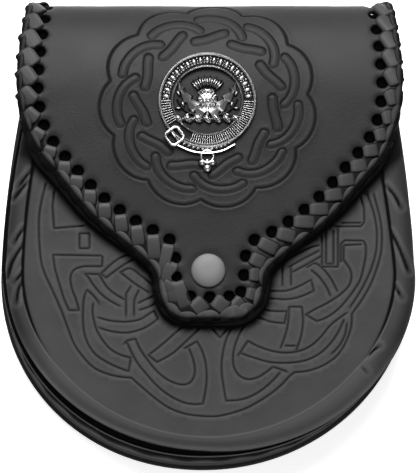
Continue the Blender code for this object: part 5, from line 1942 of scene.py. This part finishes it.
def build_keepers():
    """Two riveted leather loops on the back, each bent from one strip."""
    line = keeper_line()
    length = running_length(line)
    normals = edge_normals(line)
    half = KEEPER_LEATHER / 2
    for side, name in ((-1, "left"), (1, "right")):
        loop = rounded_rectangle(KEEPER_WIDTH / 2, 0.0, length[-1], KEEPER_CORNER)
        rim = looped(loop)
        rails = rails_beside(rim, both_sides(0.3, 0.7), KEEPER_SPACING)
        flat, faces, _ = flat_mesh([loop], rails, rails[:0], 1.6, 0.0)
        drop = rim_drop(distances(flat, at_spacing(rim, 0.3)))
        crease = -0.18 * hill(np.abs(KEEPER_WIDTH / 2 - np.abs(flat[:, 0])) - 2.4, 0.5)
        middle = read_off(flat[:, 1], length, line)
        normal = read_off(flat[:, 1], length, normals)
        shells = [np.column_stack([side * KEEPER_X + flat[:, 0], middle + normal * away[:, None]])
                  for away in (half + drop + crease, -half - drop)]
        points, solid = closed_shell(*shells, faces)
        # Painted shade in the keepers' creases.
        relief = np.concatenate([crease * 2.0, np.zeros(len(crease))])
        piece = add_mesh(f"belt_loop_{name}", points, solid, "keeper_hide", relief=relief)
        finish(piece, "keeper_leather", f"keeper_{name}")


def build_rivets():
    """Domed rivets through the keepers' tabs, each with a flat cap inside."""
    parts = []
    for x, y in rivet_places():
        inside_z = back_face_z(y) + FLAP_LEATHER + 2 * GAP
        outside = back_face_z(y) - KEEPER_LEATHER - 2 * GAP - 0.3
        rows = [(0.0, outside - RIVET_HEAD)]
        for share in (0.25, 0.5, 0.72, 0.88, 0.97):
            dome_height = (RIVET_HEAD - RIVET_EDGE) * math.sqrt(1.0 - share**2)
            rows.append((RIVET_RADIUS * share, outside - RIVET_EDGE - dome_height))
        rows += [(RIVET_RADIUS, outside - 0.2), (RIVET_RADIUS, outside + 0.05), (1.5, outside + 0.05),
                 (1.5, inside_z), (RIVET_RADIUS, inside_z), (RIVET_RADIUS, inside_z + 0.7),
                 (RIVET_RADIUS - 0.2, inside_z + 0.9), (0.0, inside_z + 0.9)]
        parts.append(lathe(x, y, rows, 40))
    points, faces = joined(parts)
    piece = add_mesh("loop_rivets", points, faces, "rivet_nickel", relief=np.full(len(points), 0.7))
    finish(piece, "rivet_metal", *(f"keeper_rivet_{i}" for i in range(1, 5)))


# === Stage ===

FLOOR_Z = -0.4
FLOOR_RADIUS = 4000.0
LAMPS = table("name place size share",
    ("back_light", (0.0, 1350.0, 480.0), 900.0, 0.20),
    ("key_light", (-100.0, 850.0, 1150.0), 900.0, 1.0),
    ("fill_light", (250.0, -900.0, 1150.0), 1200.0, 0.20))


def place_on_stage(name, data, place, turn):
    """Sets a lamp or a camera at a place in millimetres."""
    thing = bpy.data.objects.new(name, data)
    thing.location = Vector(place) * MM
    thing.rotation_euler = turn
    bpy.context.scene.collection.objects.link(thing)
    return thing


def build_stage(colour, light, surround):
    """A pale floor, a broad soft light from the fold's side, and the camera."""
    floor_material(colour)
    rim = circle(0.0, 0.0, FLOOR_RADIUS, 64)
    floor = add_mesh("floor", np.column_stack([rim, np.full(64, FLOOR_Z)]), [tuple(range(64))],
                     "pale_floor")
    world = bpy.data.worlds.new("pale_surround")
    world.use_nodes = True
    feed(world.node_tree.nodes["Background"], {"Color": grey(1.0), "Strength": surround})
    bpy.context.scene.world = world
    for lamp in LAMPS:
        light_data = bpy.data.lights.new(lamp.name, "AREA")
        light_data.shape = "SQUARE"
        light_data.size = lamp.size * MM
        light_data.energy = light * lamp.share
        aim = Vector(VIEW_TARGET) * MM - Vector(lamp.place) * MM
        place_on_stage(lamp.name, light_data, lamp.place, aim.to_track_quat("-Z", "Y").to_euler())
    camera = bpy.data.cameras.new("front_camera")
    camera.sensor_width = SENSOR_WIDTH
    camera.lens = SENSOR_WIDTH * PIXELS_AT_UNIT_DEPTH / CHART_HEIGHT
    camera.clip_end = 20.0
    eye, _, _ = view_axes()
    turn = (math.radians(90.0 - VIEW_ELEVATION), 0.0, 0.0)
    bpy.context.scene.camera = place_on_stage("front_camera", camera, eye, turn)
    bpy.context.scene.view_settings.view_transform = "Standard"


# === Settings, operators and panel ===

class LacingSettings(bpy.types.PropertyGroup):
    """Sizes of the lace."""

    width: bpy.props.FloatProperty(
        name="Lace width", description="Width of the flat lace", default=5.0 * MM, min=2.0 * MM,
        max=9.0 * MM, unit="LENGTH", subtype="DISTANCE")
    thickness: bpy.props.FloatProperty(
        name="Lace thickness", description="Thickness of the flat lace", default=0.85 * MM, min=0.4 * MM,
        max=2.0 * MM, unit="LENGTH", subtype="DISTANCE")


class StageSettings(bpy.types.PropertyGroup):
    """The floor and the light."""

    floor_colour: bpy.props.FloatVectorProperty(
        name="Floor colour", description="Colour of the plain floor", default=(0.92, 0.92, 0.92), size=3,
        min=0.0, max=1.0, subtype="COLOR")
    light: bpy.props.FloatProperty(
        name="Key light", description="Power of the broad light from the fold's side", default=46.0,
        min=0.0, unit="POWER")
    surround: bpy.props.FloatProperty(
        name="Surround", description="Brightness of the pale surround", default=0.22, min=0.0, max=3.0,
        subtype="FACTOR")


class SPORRAN_OT_front(bpy.types.Operator):
    """Build the moulded front with its pressed knot"""

    bl_idname = "sporran.front"
    bl_label = "Moulded Front"

    def execute(self, context):
        build_front_panel()
        return {"FINISHED"}


class SPORRAN_OT_flap(bpy.types.Operator):
    """Build the flap and the back, one piece of leather with its pressed ring"""

    bl_idname = "sporran.flap"
    bl_label = "Flap and Back"

    def execute(self, context):
        build_flap_and_back()
        return {"FINISHED"}


class SPORRAN_OT_gusset(bpy.types.Operator):
    """Build the gusset between front and back"""

    bl_idname = "sporran.gusset"
    bl_label = "Gusset"

    def execute(self, context):
        build_gusset()
        return {"FINISHED"}


class SPORRAN_OT_lacing(bpy.types.Operator):
    """Lace the flap's edge"""

    bl_idname = "sporran.lacing"
    bl_label = "Edge Lacing"

    def execute(self, context):
        settings = context.scene.sporran_lacing
        build_lacing(settings.width / MM, settings.thickness / MM)
        return {"FINISHED"}


class SPORRAN_OT_snap(bpy.types.Operator):
    """Build the press stud's cap and finish its hidden half"""

    bl_idname = "sporran.snap"
    bl_label = "Press Stud"

    def execute(self, context):
        build_snap()
        return {"FINISHED"}


class SPORRAN_OT_badge(bpy.types.Operator):
    """Build the silver badge"""

    bl_idname = "sporran.badge"
    bl_label = "Silver Badge"

    def execute(self, context):
        build_badge()
        return {"FINISHED"}


class SPORRAN_OT_keepers(bpy.types.Operator):
    """Build the belt keepers and their rivets"""

    bl_idname = "sporran.keepers"
    bl_label = "Belt Keepers"

    def execute(self, context):
        build_keepers()
        build_rivets()
        return {"FINISHED"}


class SPORRAN_OT_stage(bpy.types.Operator):
    """Set the floor, the lights and the camera"""

    bl_idname = "sporran.stage"
    bl_label = "Stage"

    def execute(self, context):
        settings = context.scene.sporran_stage
        build_stage(tuple(settings.floor_colour), settings.light, settings.surround)
        return {"FINISHED"}


OPERATORS = (SPORRAN_OT_stage, SPORRAN_OT_front, SPORRAN_OT_flap, SPORRAN_OT_gusset, SPORRAN_OT_lacing,
             SPORRAN_OT_snap, SPORRAN_OT_badge, SPORRAN_OT_keepers)


class SPORRAN_PT_panel(bpy.types.Panel):
    """The pouch's settings and the buttons that build its pieces"""

    bl_idname = "SPORRAN_PT_panel"
    bl_label = "Sporran Pouch"
    bl_space_type = "VIEW_3D"
    bl_region_type = "UI"
    bl_category = "Sporran"

    def draw(self, context):
        scene = context.scene
        for settings in (scene.sporran_lacing, scene.sporran_stage):
            box = self.layout.box()
            for name in settings.bl_rna.properties.keys():
                if name not in ("rna_type", "name"):
                    box.prop(settings, name)
        for operator in OPERATORS:
            self.layout.operator(operator.bl_idname)


CLASSES = (LacingSettings, StageSettings, *OPERATORS, SPORRAN_PT_panel)


def register():
    for cls in CLASSES:
        bpy.utils.register_class(cls)
    bpy.types.Scene.sporran_lacing = bpy.props.PointerProperty(type=LacingSettings)
    bpy.types.Scene.sporran_stage = bpy.props.PointerProperty(type=StageSettings)


def unregister():
    del bpy.types.Scene.sporran_stage
    del bpy.types.Scene.sporran_lacing
    for cls in reversed(CLASSES):
        bpy.utils.unregister_class(cls)


def main():
    """Builds every piece in order."""
    register()
    build_materials()
    for operator in OPERATORS:
        group, name = operator.bl_idname.split(".")
        getattr(getattr(bpy.ops, group), name)()


if __name__ == "__main__":
    main()
